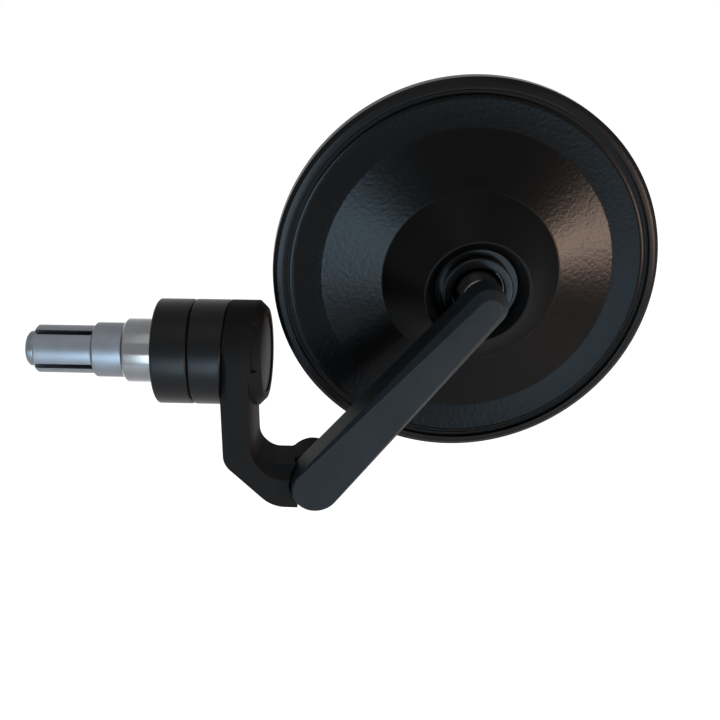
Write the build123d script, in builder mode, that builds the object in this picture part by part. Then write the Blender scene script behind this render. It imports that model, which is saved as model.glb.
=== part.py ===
from build123d import *
import math
import os

# Bar end mirror. X runs along the bar axis and points outboard, Z is up, Y points at the road behind.
# The origin is on the bar axis at the inboard face of the barrel.

# Barrel and head
barrel_radius = 12.65
joint_gap = 0.1
ring_edge_break = 0.4
ring_joint_x = 8.7
ring_spigot_radius = 6.5
ring_spigot_end_x = 13.6
head_joint_x = 16.65
head_joint_lean = 3.7
head_end_x = 26.0
head_end_chamfer = 1.7
head_spigot_radius = 6.5
head_spigot_end_x = 20.9
pocket_left_x = 23.7
pocket_radius = 11.5
pocket_wall_lean = 0.4
pocket_top_angle = 53.0
pocket_sweep = 55.0

# Collet that goes into the bar
collet_end_x = -30.1
collet_step_x = -15.8
collet_shoulder_x = -8.3
collet_radius = 5.8
collet_thick_radius = 6.6
collet_thick_chamfer = 0.6
collet_shank_radius = 6.0
collet_shank_end_x = 6.0
slot_width = 1.5
slot_length = 14.5
slot_turn = 27.0
spacer_radius = 7.7
spacer_inner_chamfer = 0.8
spacer_seat_radius = 7.5
spacer_seat_depth = 1.0
spacer_seat_relief = 0.4

# Clamp bolt and cone
bolt_radius = 2.5
bolt_clearance = 0.3
bolt_tip_x = -31.6
cone_gap = 0.3
cone_big_radius = 4.26
cone_small_radius = 3.5
cone_end_x = -32.3
cone_straight_x = -30.6
cone_tip_x = -23.4
cone_stop_x = -21.0
cone_round = 0.6
bolt_running = 0.05
washer_thickness = 1.0
washer_radius = 7.4
washer_clearance = 0.4
bolt_head_radius = 4.25
bolt_head_height = 2.8
socket_flats = 3.0
socket_depth = 1.7

# End cap
cap_radius = 9.4
cap_thickness = 0.7
cap_inset = 0.35
cap_skirt_depth = 1.6
cap_skirt_wall = 1.2

# Glass and rim across the mirror
glass_radius = 45.1
glass_side_gap = 0.3
bezel_wall = 2.4
bezel_inner_radius = glass_radius + glass_side_gap
bezel_radius = bezel_inner_radius + bezel_wall

# Mirror frame: the ball centre and the direction that the back of the mirror faces
mirror_yaw = 9.7
mirror_tilt = -3.6
yaw = math.radians(mirror_yaw)
tilt = math.radians(mirror_tilt)
rim_head_gap = 2.58
ball_back = 5.6
ball_height = 15.15
ball_centre = (head_end_x + bezel_radius * math.cos(yaw) + rim_head_gap, ball_back, ball_height)
mirror_normal = (math.sin(yaw) * math.cos(tilt), -math.cos(yaw) * math.cos(tilt), math.sin(tilt))
mirror_across = (math.cos(yaw), math.sin(yaw), 0)
mirror_plane = Plane(origin=ball_centre, x_dir=mirror_across, z_dir=mirror_normal)

# Upper arm, in the plane of the mirror
arm_face_height = 15.8
arm_pivot_across = -39.72
arm_pivot_down = -43.91
arm_thickness = 8.4
arm_end_offset = 0.7
pivot_face_radius = 5.4
tip_face_radius = 2.7
pivot_edge_bevel = 0.45
tip_edge_bevel = 1.9
arm_back_bevel = 0.4
arm_reach = math.hypot(arm_pivot_across, arm_pivot_down)
arm_face_plane = mirror_plane.offset(arm_face_height)
pivot_point = arm_face_plane.from_local_coords((arm_pivot_across, arm_pivot_down, 0))
pivot_plane = Plane(origin=pivot_point, x_dir=mirror_across, z_dir=mirror_normal)
arm_direction = (Vector(ball_centre) + Vector(mirror_normal) * arm_face_height - pivot_point).normalized()
arm_plane = Plane(origin=pivot_point, x_dir=arm_direction, z_dir=mirror_normal)

# Pivot between the arms
friction_gap = 0.5
friction_washer_thickness = 0.4
friction_washer_radius = 5.2
lug_front = arm_thickness + friction_gap
lug_thickness = 7.0
lug_back = lug_front + lug_thickness
lug_radius = 5.9
lug_reach = 8.0
lug_root_top = 2.6
lug_root_bottom = -5.6
shoulder_gap = 0.6
pivot_screw_radius = 2.5
pivot_running = 0.05
bush_radius = 3.6
pivot_thread_depth = 6.0
pivot_washer_radius = 4.6
pivot_washer_thickness = 0.6
wave_washer_thickness = 0.5
wave_washer_radius = 4.4
pivot_head_radius = 4.2
pivot_head_height = 2.6
screw_head_chamfer = 0.4

# Lower arm, front view: the outline of its front flat, and the outline behind the bevels
arm_front_y = -barrel_radius
arm_edge_y = -9.9
arm_rear_y = 0.6
arm_left_x = 15.8
arm_right_x = 23.4
arm_flat_left_x = 18.05
arm_flat_right_x = 23.1
crank_top_z = -24.75
crank_bottom_z = -36.4
crank_end_gap = 5.25
crank_end_x = pivot_point.X - crank_end_gap
crank_slope_top_z = -25.4
crank_foot_length = 6.2
crank_slope_bottom_x = crank_end_x - crank_foot_length
crank_outer_fillet = 5.0
crank_lower_fillet = 8.0
crank_inner_x = 26.6
crank_inner_z = -21.6
crank_inner_fillet = 4.8
crank_ridge_top_z = -27.75
crank_ridge_bottom_z = -28.25
flat_slope_top_z = -20.7
ridge_foot_length = 6.9
flat_slope_bottom_x = crank_end_x - ridge_foot_length
flat_outer_fillet = 3.0
flat_lower_fillet = 6.0
flat_inner_x = 27.4
flat_inner_z = -22.4
flat_inner_fillet = 6.0

# Ball and socket
ball_radius = 6.4
ball_running = 0.05
neck_radius = 3.3
stud_collar_radius = 4.3
stud_collar_height = 0.8
stud_thread_radius = 2.5
stud_thread_length = 5.5
cup_wall = 1.1
cup_outer_radius = ball_radius + ball_running + cup_wall
cup_edge_depth = 3.9
cup_hole_radius = 1.6
housing_cup_gap = 0.35
front_cup_radius = 7.4
front_cup_top = 2.0
front_cup_bottom = -1.7
front_cup_running = 0.05
retainer_radius = 8.5
retainer_mouth_radius = 6.25
retainer_top = 3.0
retainer_bottom = -3.0
retainer_lip_bottom = 2.2
retainer_edge_break = 0.3
housing_radius = 10.0
housing_top = 0.4
housing_bottom = -11.4
flange_radius = 16.5
flange_thickness = 1.8
spring_bore_radius = 3.6
spring_bore_depth = 3.0
spring_wire_radius = 0.4
spring_coil_radius = 2.9
spring_pitch = 1.2
spring_turns = 2.25
spring_seat = 0.45
housing_screw_circle = 13.6
housing_screw_radius = 1.25
housing_screw_head_radius = 2.2
housing_screw_head_height = 0.8
housing_screw_length = 4.0
housing_screw_count = 3
boss_radius = 2.6

# Rim and glass, as height above the ball centre
glass_thickness = 2.0
glass_curve_radius = 1200.0
bezel_top = -10.5
bezel_bottom = -15.0
bezel_edge_bevel = 0.9
bezel_lip_thickness = 0.6
bezel_lip_radius = glass_radius - 1.2

# Back shell
shell_rim_radius = glass_radius - 1.3
shell_rim_width = 0.7
shell_rim_step_radius = shell_rim_radius - shell_rim_width
shell_rim_height = -10.4
shell_annulus_outer_height = -10.75
shell_annulus_width = 6.5
shell_annulus_inner_radius = shell_rim_step_radius - shell_annulus_width
shell_annulus_inner_height = -10.35
shell_fillet_width = 1.5
shell_cone_start_radius = shell_annulus_inner_radius - shell_fillet_width
shell_cone_start_height = -9.85
shell_cone_top_radius = 21.7
shell_cone_top_height = -7.0
shell_lip_radius = 12.8
shell_lip_height = 3.0
shell_lip_width = 0.5
shell_dish_radius = 10.15
shell_dish_height = 1.4
shell_wall = 1.6
shell_foot_height = -12.2
shell_foot_width = 3.2
shell_foot_inner_radius = shell_rim_radius - shell_foot_width
shell_inner_height = -11.7
shell_under_cone_height = -8.9
shell_hub_inner_radius = 12.4
shell_hub_inner_height = -1.6
seal_gap = 0.1
seal_inner_radius = shell_rim_radius + seal_gap
seal_outer_radius = bezel_inner_radius - seal_gap
seal_base_height = -11.6
seal_bead_radius = 0.25
seal_bead_circle = (seal_inner_radius + seal_outer_radius) / 2
backing_gap = 0.6
backing_radius = shell_foot_inner_radius - backing_gap
backing_thickness = 0.5
glass_back_edge = shell_foot_height
glass_front_edge = glass_back_edge - glass_thickness


def glass_drop(radius):
    edge_depth = math.sqrt(glass_curve_radius ** 2 - glass_radius ** 2)
    return math.sqrt(glass_curve_radius ** 2 - radius ** 2) - edge_depth


os.makedirs("parts", exist_ok=True)

axis_plane = Plane.YZ
joint_lean = math.radians(head_joint_lean)
joint_plane = Plane(
    origin=(head_joint_x, 0, 0),
    x_dir=(0, 1, 0),
    z_dir=(math.cos(joint_lean), 0, -math.sin(joint_lean)),
)


# Bar clamp

with BuildPart() as expansion_collet:
    with BuildSketch(Plane.XY):
        with BuildLine():
            Polyline(
                (collet_end_x, 0),
                (collet_end_x, collet_radius - ring_edge_break),
                (collet_end_x + ring_edge_break, collet_radius),
                (collet_step_x, collet_radius),
                (collet_step_x, collet_thick_radius - collet_thick_chamfer),
                (collet_step_x + collet_thick_chamfer, collet_thick_radius),
                (collet_shoulder_x, collet_thick_radius),
                (collet_shoulder_x, collet_shank_radius),
                (collet_shank_end_x, collet_shank_radius),
                (collet_shank_end_x, 0),
                close=True,
            )
        make_face()
    revolve(axis=Axis.X)
    with BuildSketch(Plane.XY):
        with BuildLine():
            Polyline(
                (collet_end_x, 0),
                (collet_end_x, cone_big_radius + cone_gap),
                (cone_tip_x, cone_small_radius + cone_gap),
                (cone_stop_x, cone_small_radius + cone_gap),
                (cone_stop_x, bolt_radius + bolt_clearance),
                (collet_shank_end_x, bolt_radius + bolt_clearance),
                (collet_shank_end_x, 0),
                close=True,
            )
        make_face()
    revolve(axis=Axis.X, mode=Mode.SUBTRACT)
    with BuildSketch(Plane(origin=(collet_end_x, 0, 0), x_dir=(0, -1, 0), z_dir=(1, 0, 0))):
        Rectangle(2 * barrel_radius, slot_width, rotation=slot_turn)
        Rectangle(slot_width, 2 * barrel_radius, rotation=slot_turn)
    extrude(amount=slot_length, mode=Mode.SUBTRACT)

with BuildPart() as expander_cone:
    with BuildSketch(Plane.XY):
        with BuildLine():
            Polyline(
                (cone_end_x, bolt_radius + bolt_running),
                (cone_end_x, cone_big_radius - cone_round),
                (cone_end_x + cone_round, cone_big_radius),
                (cone_straight_x, cone_big_radius),
                (cone_tip_x, cone_small_radius),
                (cone_tip_x, bolt_radius + bolt_running),
                close=True,
            )
        make_face()
    revolve(axis=Axis.X)

with BuildPart() as spacer_bush:
    with BuildSketch(Plane.XY):
        with BuildLine():
            Polyline(
                (collet_shoulder_x, collet_shank_radius),
                (collet_shoulder_x, spacer_radius - spacer_inner_chamfer),
                (collet_shoulder_x + spacer_inner_chamfer, spacer_radius),
                (0, spacer_radius),
                (0, spacer_seat_radius),
                (spacer_seat_depth, spacer_seat_radius),
                (spacer_seat_depth, collet_shank_radius),
                close=True,
            )
        make_face()
    revolve(axis=Axis.X)

with BuildPart() as inner_barrel_ring:
    with BuildSketch(Plane.XY):
        with BuildLine():
            Polyline(
                (spacer_seat_depth, collet_shank_radius),
                (spacer_seat_depth, spacer_seat_radius),
                (spacer_seat_relief, spacer_seat_radius),
                (0, spacer_seat_radius + spacer_seat_relief),
                (0, barrel_radius - ring_edge_break),
                (ring_edge_break, barrel_radius),
                (ring_joint_x - ring_edge_break, barrel_radius),
                (ring_joint_x, barrel_radius - ring_edge_break),
                (ring_joint_x, ring_spigot_radius),
                (ring_spigot_end_x - ring_edge_break, ring_spigot_radius),
                (ring_spigot_end_x, ring_spigot_radius - ring_edge_break),
                (ring_spigot_end_x, bolt_radius + bolt_clearance),
                (collet_shank_end_x, bolt_radius + bolt_clearance),
                (collet_shank_end_x, collet_shank_radius),
                close=True,
            )
        make_face()
    revolve(axis=Axis.X)

# The outer ring ends on a leaning joint, so it turns with the head on the spigot of the inner ring.
with BuildPart() as outer_barrel_ring:
    with BuildSketch(axis_plane.offset(ring_joint_x + joint_gap)):
        Circle(barrel_radius)
    extrude(amount=head_end_x - ring_joint_x)
    split(bisect_by=joint_plane, keep=Keep.BOTTOM)
    chamfer(outer_barrel_ring.faces().sort_by(Axis.X)[0].edges(), ring_edge_break)
    leaning_face = outer_barrel_ring.faces().sort_by(Axis(joint_plane.origin, joint_plane.z_dir))[-1]
    chamfer(leaning_face.edges(), ring_edge_break)
    with BuildSketch(axis_plane.offset(ring_spigot_end_x)):
        Circle(head_spigot_radius)
    extrude(amount=head_spigot_end_x - ring_spigot_end_x)
    with BuildSketch(axis_plane):
        Circle(ring_spigot_radius + bolt_running)
    extrude(amount=ring_spigot_end_x + joint_gap, mode=Mode.SUBTRACT)
    with BuildSketch(axis_plane):
        Circle(bolt_radius + bolt_clearance)
    extrude(amount=head_end_x, mode=Mode.SUBTRACT)

washer_x = head_spigot_end_x
bolt_seat_x = washer_x + washer_thickness
bolt_end_x = bolt_seat_x + bolt_head_height

with BuildPart() as clamp_bolt:
    with BuildSketch(Plane.XY):
        with BuildLine():
            Polyline(
                (bolt_tip_x, 0),
                (bolt_tip_x, bolt_radius - ring_edge_break),
                (bolt_tip_x + ring_edge_break, bolt_radius),
                (bolt_seat_x, bolt_radius),
                (bolt_seat_x, bolt_head_radius),
                (bolt_end_x - screw_head_chamfer, bolt_head_radius),
                (bolt_end_x, bolt_head_radius - screw_head_chamfer),
                (bolt_end_x, 0),
                close=True,
            )
        make_face()
    revolve(axis=Axis.X)
    with BuildSketch(axis_plane.offset(bolt_end_x)):
        RegularPolygon(socket_flats / 2, 6, major_radius=False)
    extrude(amount=-socket_depth, mode=Mode.SUBTRACT)

with BuildPart() as clamp_washer:
    with BuildSketch(axis_plane.offset(washer_x)):
        Circle(washer_radius)
        Circle(bolt_radius + bolt_clearance, mode=Mode.SUBTRACT)
    extrude(amount=washer_thickness)


# Lower arm

cap_seat_x = head_end_x - cap_inset - cap_thickness
counterbore_radius = washer_radius + washer_clearance
edge_slope = (arm_edge_y - arm_front_y) / (arm_flat_left_x - arm_left_x)
pocket_angle = math.radians(pocket_top_angle)
pocket_plane = Plane(
    origin=(0, 0, 0),
    x_dir=(1, 0, 0),
    z_dir=(0, -math.sin(pocket_angle), -math.cos(pocket_angle)),
)

with BuildPart() as ring_space:
    with BuildSketch(axis_plane):
        Circle(barrel_radius + joint_gap)
    extrude(amount=head_end_x)
    split(bisect_by=joint_plane.offset(joint_gap), keep=Keep.BOTTOM)

with BuildPart() as lower_arm:
    with BuildSketch(Plane.XY):
        with BuildLine():
            Polyline(
                (ring_spigot_end_x, 0),
                (ring_spigot_end_x, barrel_radius),
                (head_end_x - head_end_chamfer, barrel_radius),
                (head_end_x, barrel_radius - head_end_chamfer),
                (head_end_x, 0),
                close=True,
            )
        make_face()
    revolve(axis=Axis.X)
    # The bevel of the arm's left edge runs on up the head and fades out.
    with BuildSketch(Plane.XY.offset(-barrel_radius)):
        with BuildLine():
            Polyline(
                (arm_flat_left_x, arm_front_y),
                (arm_flat_left_x, arm_front_y - barrel_radius),
                (ring_spigot_end_x, arm_front_y - barrel_radius),
                (ring_spigot_end_x, arm_edge_y + (arm_left_x - ring_spigot_end_x) * edge_slope),
                close=True,
            )
        make_face()
    extrude(amount=2 * barrel_radius, mode=Mode.SUBTRACT)
    with BuildSketch(pocket_plane):
        with BuildLine():
            Polyline(
                (pocket_left_x, barrel_radius + joint_gap),
                (pocket_left_x + pocket_wall_lean, pocket_radius),
                (head_end_x + joint_gap, pocket_radius),
                (head_end_x + joint_gap, barrel_radius + joint_gap),
                close=True,
            )
        make_face()
    revolve(axis=Axis.X, revolution_arc=pocket_sweep, mode=Mode.SUBTRACT)
    with BuildSketch(Plane.XZ.offset(-arm_edge_y)) as edge_outline:
        with BuildLine():
            Polyline(
                (arm_left_x, 0),
                (arm_left_x, crank_slope_top_z),
                (crank_slope_bottom_x, crank_bottom_z),
                (crank_end_x, crank_bottom_z),
                (crank_end_x, crank_top_z),
                (crank_inner_x, crank_top_z),
                (arm_right_x, crank_inner_z),
                (arm_right_x, 0),
                close=True,
            )
        make_face()
        outer_corner = edge_outline.vertices().sort_by_distance((arm_left_x, crank_slope_top_z))[0]
        fillet(outer_corner, crank_outer_fillet)
        lower_corner = edge_outline.vertices().sort_by_distance((crank_slope_bottom_x, crank_bottom_z))[0]
        fillet(lower_corner, crank_lower_fillet)
        inner_corner = edge_outline.vertices().sort_by_distance((crank_inner_x, crank_top_z))[0]
        fillet(inner_corner, crank_inner_fillet)
        upper_corner = edge_outline.vertices().sort_by_distance((arm_right_x, crank_inner_z))[0]
        fillet(upper_corner, crank_inner_fillet)
    edge_section = edge_outline.sketch.faces()[0]
    with BuildSketch(Plane.XZ.offset(-arm_front_y)) as flat_outline:
        with BuildLine():
            Polyline(
                (arm_flat_left_x, 0),
                (arm_flat_left_x, flat_slope_top_z),
                (flat_slope_bottom_x, crank_ridge_bottom_z),
                (crank_end_x, crank_ridge_bottom_z),
                (crank_end_x, crank_ridge_top_z),
                (flat_inner_x, crank_ridge_top_z),
                (arm_flat_right_x, flat_inner_z),
                (arm_flat_right_x, 0),
                close=True,
            )
        make_face()
        outer_corner = flat_outline.vertices().sort_by_distance((arm_flat_left_x, flat_slope_top_z))[0]
        fillet(outer_corner, flat_outer_fillet)
        ridge_corner = (flat_slope_bottom_x, crank_ridge_bottom_z)
        lower_corner = flat_outline.vertices().sort_by_distance(ridge_corner)[0]
        fillet(lower_corner, flat_lower_fillet)
        inner_corner = flat_outline.vertices().sort_by_distance((flat_inner_x, crank_ridge_top_z))[0]
        fillet(inner_corner, flat_inner_fillet)
        upper_corner = flat_outline.vertices().sort_by_distance((arm_flat_right_x, flat_inner_z))[0]
        fillet(upper_corner, flat_inner_fillet)
    loft(ruled=True)
    extrude(edge_section, amount=arm_edge_y - arm_rear_y)
    with BuildSketch(pivot_plane.offset(-lug_front)):
        Circle(lug_radius)
        with BuildLine():
            Polyline(
                (0, lug_radius),
                (-lug_reach, lug_root_top),
                (-lug_reach, lug_root_bottom),
                (0, -lug_radius),
                close=True,
            )
        make_face()
    extrude(amount=-lug_thickness)
    with BuildSketch(pivot_plane.offset(barrel_radius)):
        Circle(pivot_face_radius + pivot_edge_bevel + shoulder_gap)
    extrude(amount=-(barrel_radius + lug_front), mode=Mode.SUBTRACT)
    add(ring_space.part, mode=Mode.SUBTRACT)
    with BuildSketch(Plane.XY):
        with BuildLine():
            Polyline(
                (ring_spigot_end_x, 0),
                (ring_spigot_end_x, head_spigot_radius + bolt_running),
                (head_spigot_end_x, head_spigot_radius + bolt_running),
                (head_spigot_end_x, counterbore_radius),
                (cap_seat_x, counterbore_radius),
                (cap_seat_x, cap_radius + bolt_running),
                (head_end_x, cap_radius + bolt_running),
                (head_end_x, 0),
                close=True,
            )
        make_face()
    revolve(axis=Axis.X, mode=Mode.SUBTRACT)
    with BuildSketch(pivot_plane.offset(-lug_back)):
        Circle(pivot_washer_radius + shoulder_gap)
    extrude(amount=-barrel_radius, mode=Mode.SUBTRACT)
    with BuildSketch(pivot_plane.offset(-lug_front)):
        Circle(bush_radius)
    extrude(amount=-lug_thickness, mode=Mode.SUBTRACT)

with BuildPart() as end_cap:
    with BuildSketch(axis_plane.offset(cap_seat_x)):
        Circle(cap_radius)
    extrude(amount=cap_thickness)
    with BuildSketch(axis_plane.offset(cap_seat_x)):
        Circle(counterbore_radius)
        Circle(counterbore_radius - cap_skirt_wall, mode=Mode.SUBTRACT)
    extrude(amount=-cap_skirt_depth)

with BuildPart() as pivot_bush:
    with BuildSketch(pivot_plane.offset(-lug_front)):
        Circle(bush_radius)
        Circle(pivot_screw_radius + pivot_running, mode=Mode.SUBTRACT)
    extrude(amount=-lug_thickness)

with BuildPart() as friction_washer:
    with BuildSketch(pivot_plane.offset(-lug_front)):
        Circle(friction_washer_radius)
        Circle(pivot_screw_radius + bolt_clearance, mode=Mode.SUBTRACT)
    extrude(amount=friction_washer_thickness)


# Upper arm

bevel_rise = (tip_edge_bevel - pivot_edge_bevel) / arm_reach
bevel_plane = Plane(
    origin=pivot_point - arm_plane.z_dir * pivot_edge_bevel,
    x_dir=arm_direction - arm_plane.z_dir * bevel_rise,
    z_dir=arm_plane.z_dir + arm_direction * bevel_rise,
)
tip_reach = arm_reach + arm_end_offset
stud_thread_top = arm_face_height - arm_thickness + stud_thread_length
tip_outer_radius = tip_face_radius + tip_edge_bevel
pivot_outer_radius = pivot_face_radius + pivot_edge_bevel

with BuildPart() as upper_arm:
    with BuildSketch(bevel_plane) as arm_outline:
        lean = math.asin((pivot_outer_radius - tip_outer_radius) / tip_reach)
        with BuildLine():
            outer_top = Line(
                (pivot_outer_radius * math.sin(lean), pivot_outer_radius * math.cos(lean)),
                (tip_reach + tip_outer_radius * math.sin(lean), tip_outer_radius * math.cos(lean)),
            )
            ThreePointArc(
                outer_top @ 1,
                (tip_reach + tip_outer_radius, 0),
                (tip_reach + tip_outer_radius * math.sin(lean), -tip_outer_radius * math.cos(lean)),
            )
            outer_low = Line(
                (tip_reach + tip_outer_radius * math.sin(lean), -tip_outer_radius * math.cos(lean)),
                (pivot_outer_radius * math.sin(lean), -pivot_outer_radius * math.cos(lean)),
            )
            ThreePointArc(outer_low @ 1, (-pivot_outer_radius, 0), outer_top @ 0)
        make_face()
    with BuildSketch(arm_plane):
        face_lean = math.asin((pivot_face_radius - tip_face_radius) / tip_reach)
        with BuildLine():
            face_top = Line(
                (pivot_face_radius * math.sin(face_lean), pivot_face_radius * math.cos(face_lean)),
                (tip_reach + tip_face_radius * math.sin(face_lean), tip_face_radius * math.cos(face_lean)),
            )
            ThreePointArc(
                face_top @ 1,
                (tip_reach + tip_face_radius, 0),
                (tip_reach + tip_face_radius * math.sin(face_lean), -tip_face_radius * math.cos(face_lean)),
            )
            face_low = Line(
                (tip_reach + tip_face_radius * math.sin(face_lean), -tip_face_radius * math.cos(face_lean)),
                (pivot_face_radius * math.sin(face_lean), -pivot_face_radius * math.cos(face_lean)),
            )
            ThreePointArc(face_low @ 1, (-pivot_face_radius, 0), face_top @ 0)
        make_face()
    loft(ruled=True)
    extrude(arm_outline.sketch.faces()[0], amount=arm_thickness, dir=-arm_plane.z_dir)
    split(bisect_by=arm_plane.offset(-arm_thickness), keep=Keep.TOP)
    arm_back_face = upper_arm.faces().filter_by(lambda f: f.normal_at().dot(arm_plane.z_dir) < -0.999)
    chamfer(arm_back_face.edges(), arm_back_bevel)
    with BuildSketch(pivot_plane.offset(-arm_thickness)):
        Circle(pivot_screw_radius)
    extrude(amount=pivot_thread_depth, mode=Mode.SUBTRACT)
    with BuildSketch(mirror_plane.offset(arm_face_height - arm_thickness)):
        Circle(stud_thread_radius)
    extrude(amount=stud_thread_length, mode=Mode.SUBTRACT)

screw_tip = arm_thickness - pivot_thread_depth
wave_back = lug_back + wave_washer_thickness
washer_back = wave_back + pivot_washer_thickness

with BuildPart() as pivot_screw:
    with BuildSketch(pivot_plane.offset(-screw_tip)):
        Circle(pivot_screw_radius)
    extrude(amount=-(washer_back - screw_tip))
    with BuildSketch(pivot_plane.offset(-washer_back)):
        Circle(pivot_head_radius)
    extrude(amount=-pivot_head_height)
    chamfer(pivot_screw.edges().sort_by(Axis(pivot_point, mirror_normal))[0], screw_head_chamfer)
    with BuildSketch(pivot_plane.offset(-(washer_back + pivot_head_height))):
        RegularPolygon(socket_flats / 2, 6, major_radius=False)
    extrude(amount=socket_depth, mode=Mode.SUBTRACT)

with BuildPart() as wave_washer:
    with BuildSketch(pivot_plane.offset(-lug_back)):
        Circle(wave_washer_radius)
        Circle(pivot_screw_radius + bolt_clearance, mode=Mode.SUBTRACT)
    extrude(amount=-wave_washer_thickness)

with BuildPart() as pivot_washer:
    with BuildSketch(pivot_plane.offset(-wave_back)):
        Circle(pivot_washer_radius)
        Circle(pivot_screw_radius, mode=Mode.SUBTRACT)
    extrude(amount=-pivot_washer_thickness)

profile_plane = Plane(origin=ball_centre, x_dir=mirror_across, z_dir=mirror_plane.y_dir * -1)
mirror_axis = Axis(ball_centre, mirror_normal)
neck_foot = math.sqrt(ball_radius ** 2 - neck_radius ** 2)
arm_back_height = arm_face_height - arm_thickness

with BuildPart() as ball_stud:
    with BuildSketch(profile_plane):
        with BuildLine():
            Polyline(
                (neck_radius, neck_foot),
                (neck_radius, arm_back_height - stud_collar_height),
                (stud_collar_radius, arm_back_height - stud_collar_height),
                (stud_collar_radius, arm_back_height),
                (stud_thread_radius, arm_back_height),
                (stud_thread_radius, stud_thread_top),
                (0, stud_thread_top),
                (0, -ball_radius),
            )
            ThreePointArc((0, -ball_radius), (ball_radius, 0), (neck_radius, neck_foot))
        make_face()
    revolve(axis=mirror_axis)


# Ball socket

cup_inner_radius = ball_radius + ball_running


def circle_radius(sphere, height):
    return math.sqrt(sphere ** 2 - height ** 2)


with BuildPart() as socket_cup_rear:
    with BuildSketch(profile_plane):
        Circle(cup_outer_radius)
        Circle(cup_inner_radius, mode=Mode.SUBTRACT)
        with Locations((0, barrel_radius - cup_edge_depth)):
            Rectangle(2 * barrel_radius, 2 * barrel_radius, mode=Mode.SUBTRACT)
        with Locations((cup_hole_radius - barrel_radius, 0)):
            Rectangle(2 * barrel_radius, 2 * barrel_radius, mode=Mode.SUBTRACT)
    revolve(axis=mirror_axis)

with BuildPart() as socket_cup_front:
    with BuildSketch(profile_plane):
        with BuildLine():
            Polyline(
                (circle_radius(cup_inner_radius, front_cup_bottom), front_cup_bottom),
                (front_cup_radius, front_cup_bottom),
                (front_cup_radius, front_cup_top),
                (circle_radius(cup_inner_radius, front_cup_top), front_cup_top),
            )
            ThreePointArc(
                (circle_radius(cup_inner_radius, front_cup_top), front_cup_top),
                (cup_inner_radius, 0),
                (circle_radius(cup_inner_radius, front_cup_bottom), front_cup_bottom),
            )
        make_face()
    revolve(axis=mirror_axis)

with BuildPart() as retaining_ring:
    with BuildSketch(profile_plane):
        with BuildLine():
            Polyline(
                (front_cup_radius + front_cup_running, retainer_bottom),
                (retainer_radius, retainer_bottom),
                (retainer_radius, retainer_top - retainer_edge_break),
                (retainer_radius - retainer_edge_break, retainer_top),
                (retainer_mouth_radius + retainer_edge_break, retainer_top),
                (retainer_mouth_radius, retainer_top - retainer_edge_break),
                (retainer_mouth_radius, retainer_lip_bottom),
                (front_cup_radius + front_cup_running, retainer_lip_bottom),
                close=True,
            )
        make_face()
    revolve(axis=mirror_axis)

cavity_radius = cup_outer_radius + housing_cup_gap
flange_top = housing_bottom + flange_thickness
cavity_top_radius = circle_radius(cavity_radius, retainer_bottom)

with BuildPart() as socket_housing:
    with BuildSketch(profile_plane):
        with BuildLine():
            Polyline(
                (0, housing_bottom),
                (flange_radius, housing_bottom),
                (flange_radius, flange_top),
                (housing_radius, flange_top),
                (housing_radius, housing_top),
                (retainer_radius, housing_top),
                (retainer_radius, retainer_bottom),
                (cavity_top_radius, retainer_bottom),
            )
            ThreePointArc(
                (cavity_top_radius, retainer_bottom),
                (circle_radius(cavity_radius, -cavity_radius / 2), -cavity_radius / 2),
                (0, -cavity_radius),
            )
            Line((0, -cavity_radius), (0, housing_bottom))
        make_face()
    revolve(axis=mirror_axis)
    with BuildSketch(mirror_plane):
        Circle(spring_bore_radius)
    extrude(amount=-(cavity_radius + spring_bore_depth), mode=Mode.SUBTRACT)
    with BuildSketch(mirror_plane.offset(housing_bottom)):
        with PolarLocations(housing_screw_circle, housing_screw_count):
            Circle(housing_screw_radius)
    extrude(amount=flange_thickness, mode=Mode.SUBTRACT)

spring_floor = -(cavity_radius + spring_bore_depth) + spring_seat

with BuildPart() as socket_spring:
    with BuildLine() as spring_path:
        Helix(
            pitch=spring_pitch,
            height=spring_pitch * spring_turns,
            radius=spring_coil_radius,
            center=mirror_plane.offset(spring_floor).origin,
            direction=mirror_normal,
        )
    with BuildSketch(Plane(origin=spring_path.line @ 0, z_dir=spring_path.line % 0)):
        Circle(spring_wire_radius)
    sweep(path=spring_path.line, is_frenet=True)

with BuildPart() as housing_screws:
    with BuildSketch(mirror_plane.offset(housing_bottom)):
        with PolarLocations(housing_screw_circle, housing_screw_count):
            Circle(housing_screw_radius)
    extrude(amount=flange_thickness + housing_screw_length)
    with BuildSketch(mirror_plane.offset(housing_bottom)):
        with PolarLocations(housing_screw_circle, housing_screw_count):
            Circle(housing_screw_head_radius)
    extrude(amount=-housing_screw_head_height)


# Mirror

with BuildPart() as back_shell:
    with BuildSketch(profile_plane):
        with BuildLine():
            Polyline(
                (shell_foot_inner_radius, shell_foot_height),
                (shell_rim_radius, shell_foot_height),
                (shell_rim_radius, shell_rim_height),
                (shell_rim_step_radius, shell_rim_height),
                (shell_rim_step_radius, shell_annulus_outer_height),
                (shell_annulus_inner_radius, shell_annulus_inner_height),
                (shell_cone_start_radius, shell_cone_start_height),
                (shell_cone_top_radius, shell_cone_top_height),
                (shell_lip_radius, shell_lip_height),
                (shell_lip_radius - shell_lip_width, shell_lip_height),
                (shell_dish_radius, shell_dish_height),
                (shell_dish_radius, shell_hub_inner_height),
                (shell_hub_inner_radius, shell_hub_inner_height),
                (shell_cone_top_radius - shell_wall, shell_under_cone_height),
                (shell_cone_start_radius, shell_inner_height + ring_edge_break),
                (shell_foot_inner_radius, shell_inner_height),
                close=True,
            )
        make_face()
    revolve(axis=mirror_axis)
    with BuildSketch(mirror_plane.offset(flange_top)):
        with PolarLocations(housing_screw_circle, housing_screw_count):
            Circle(boss_radius)
    extrude(amount=shell_hub_inner_height - flange_top)
    with BuildSketch(mirror_plane.offset(flange_top)):
        with PolarLocations(housing_screw_circle, housing_screw_count):
            Circle(housing_screw_radius)
    extrude(amount=housing_screw_length, mode=Mode.SUBTRACT)

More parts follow.
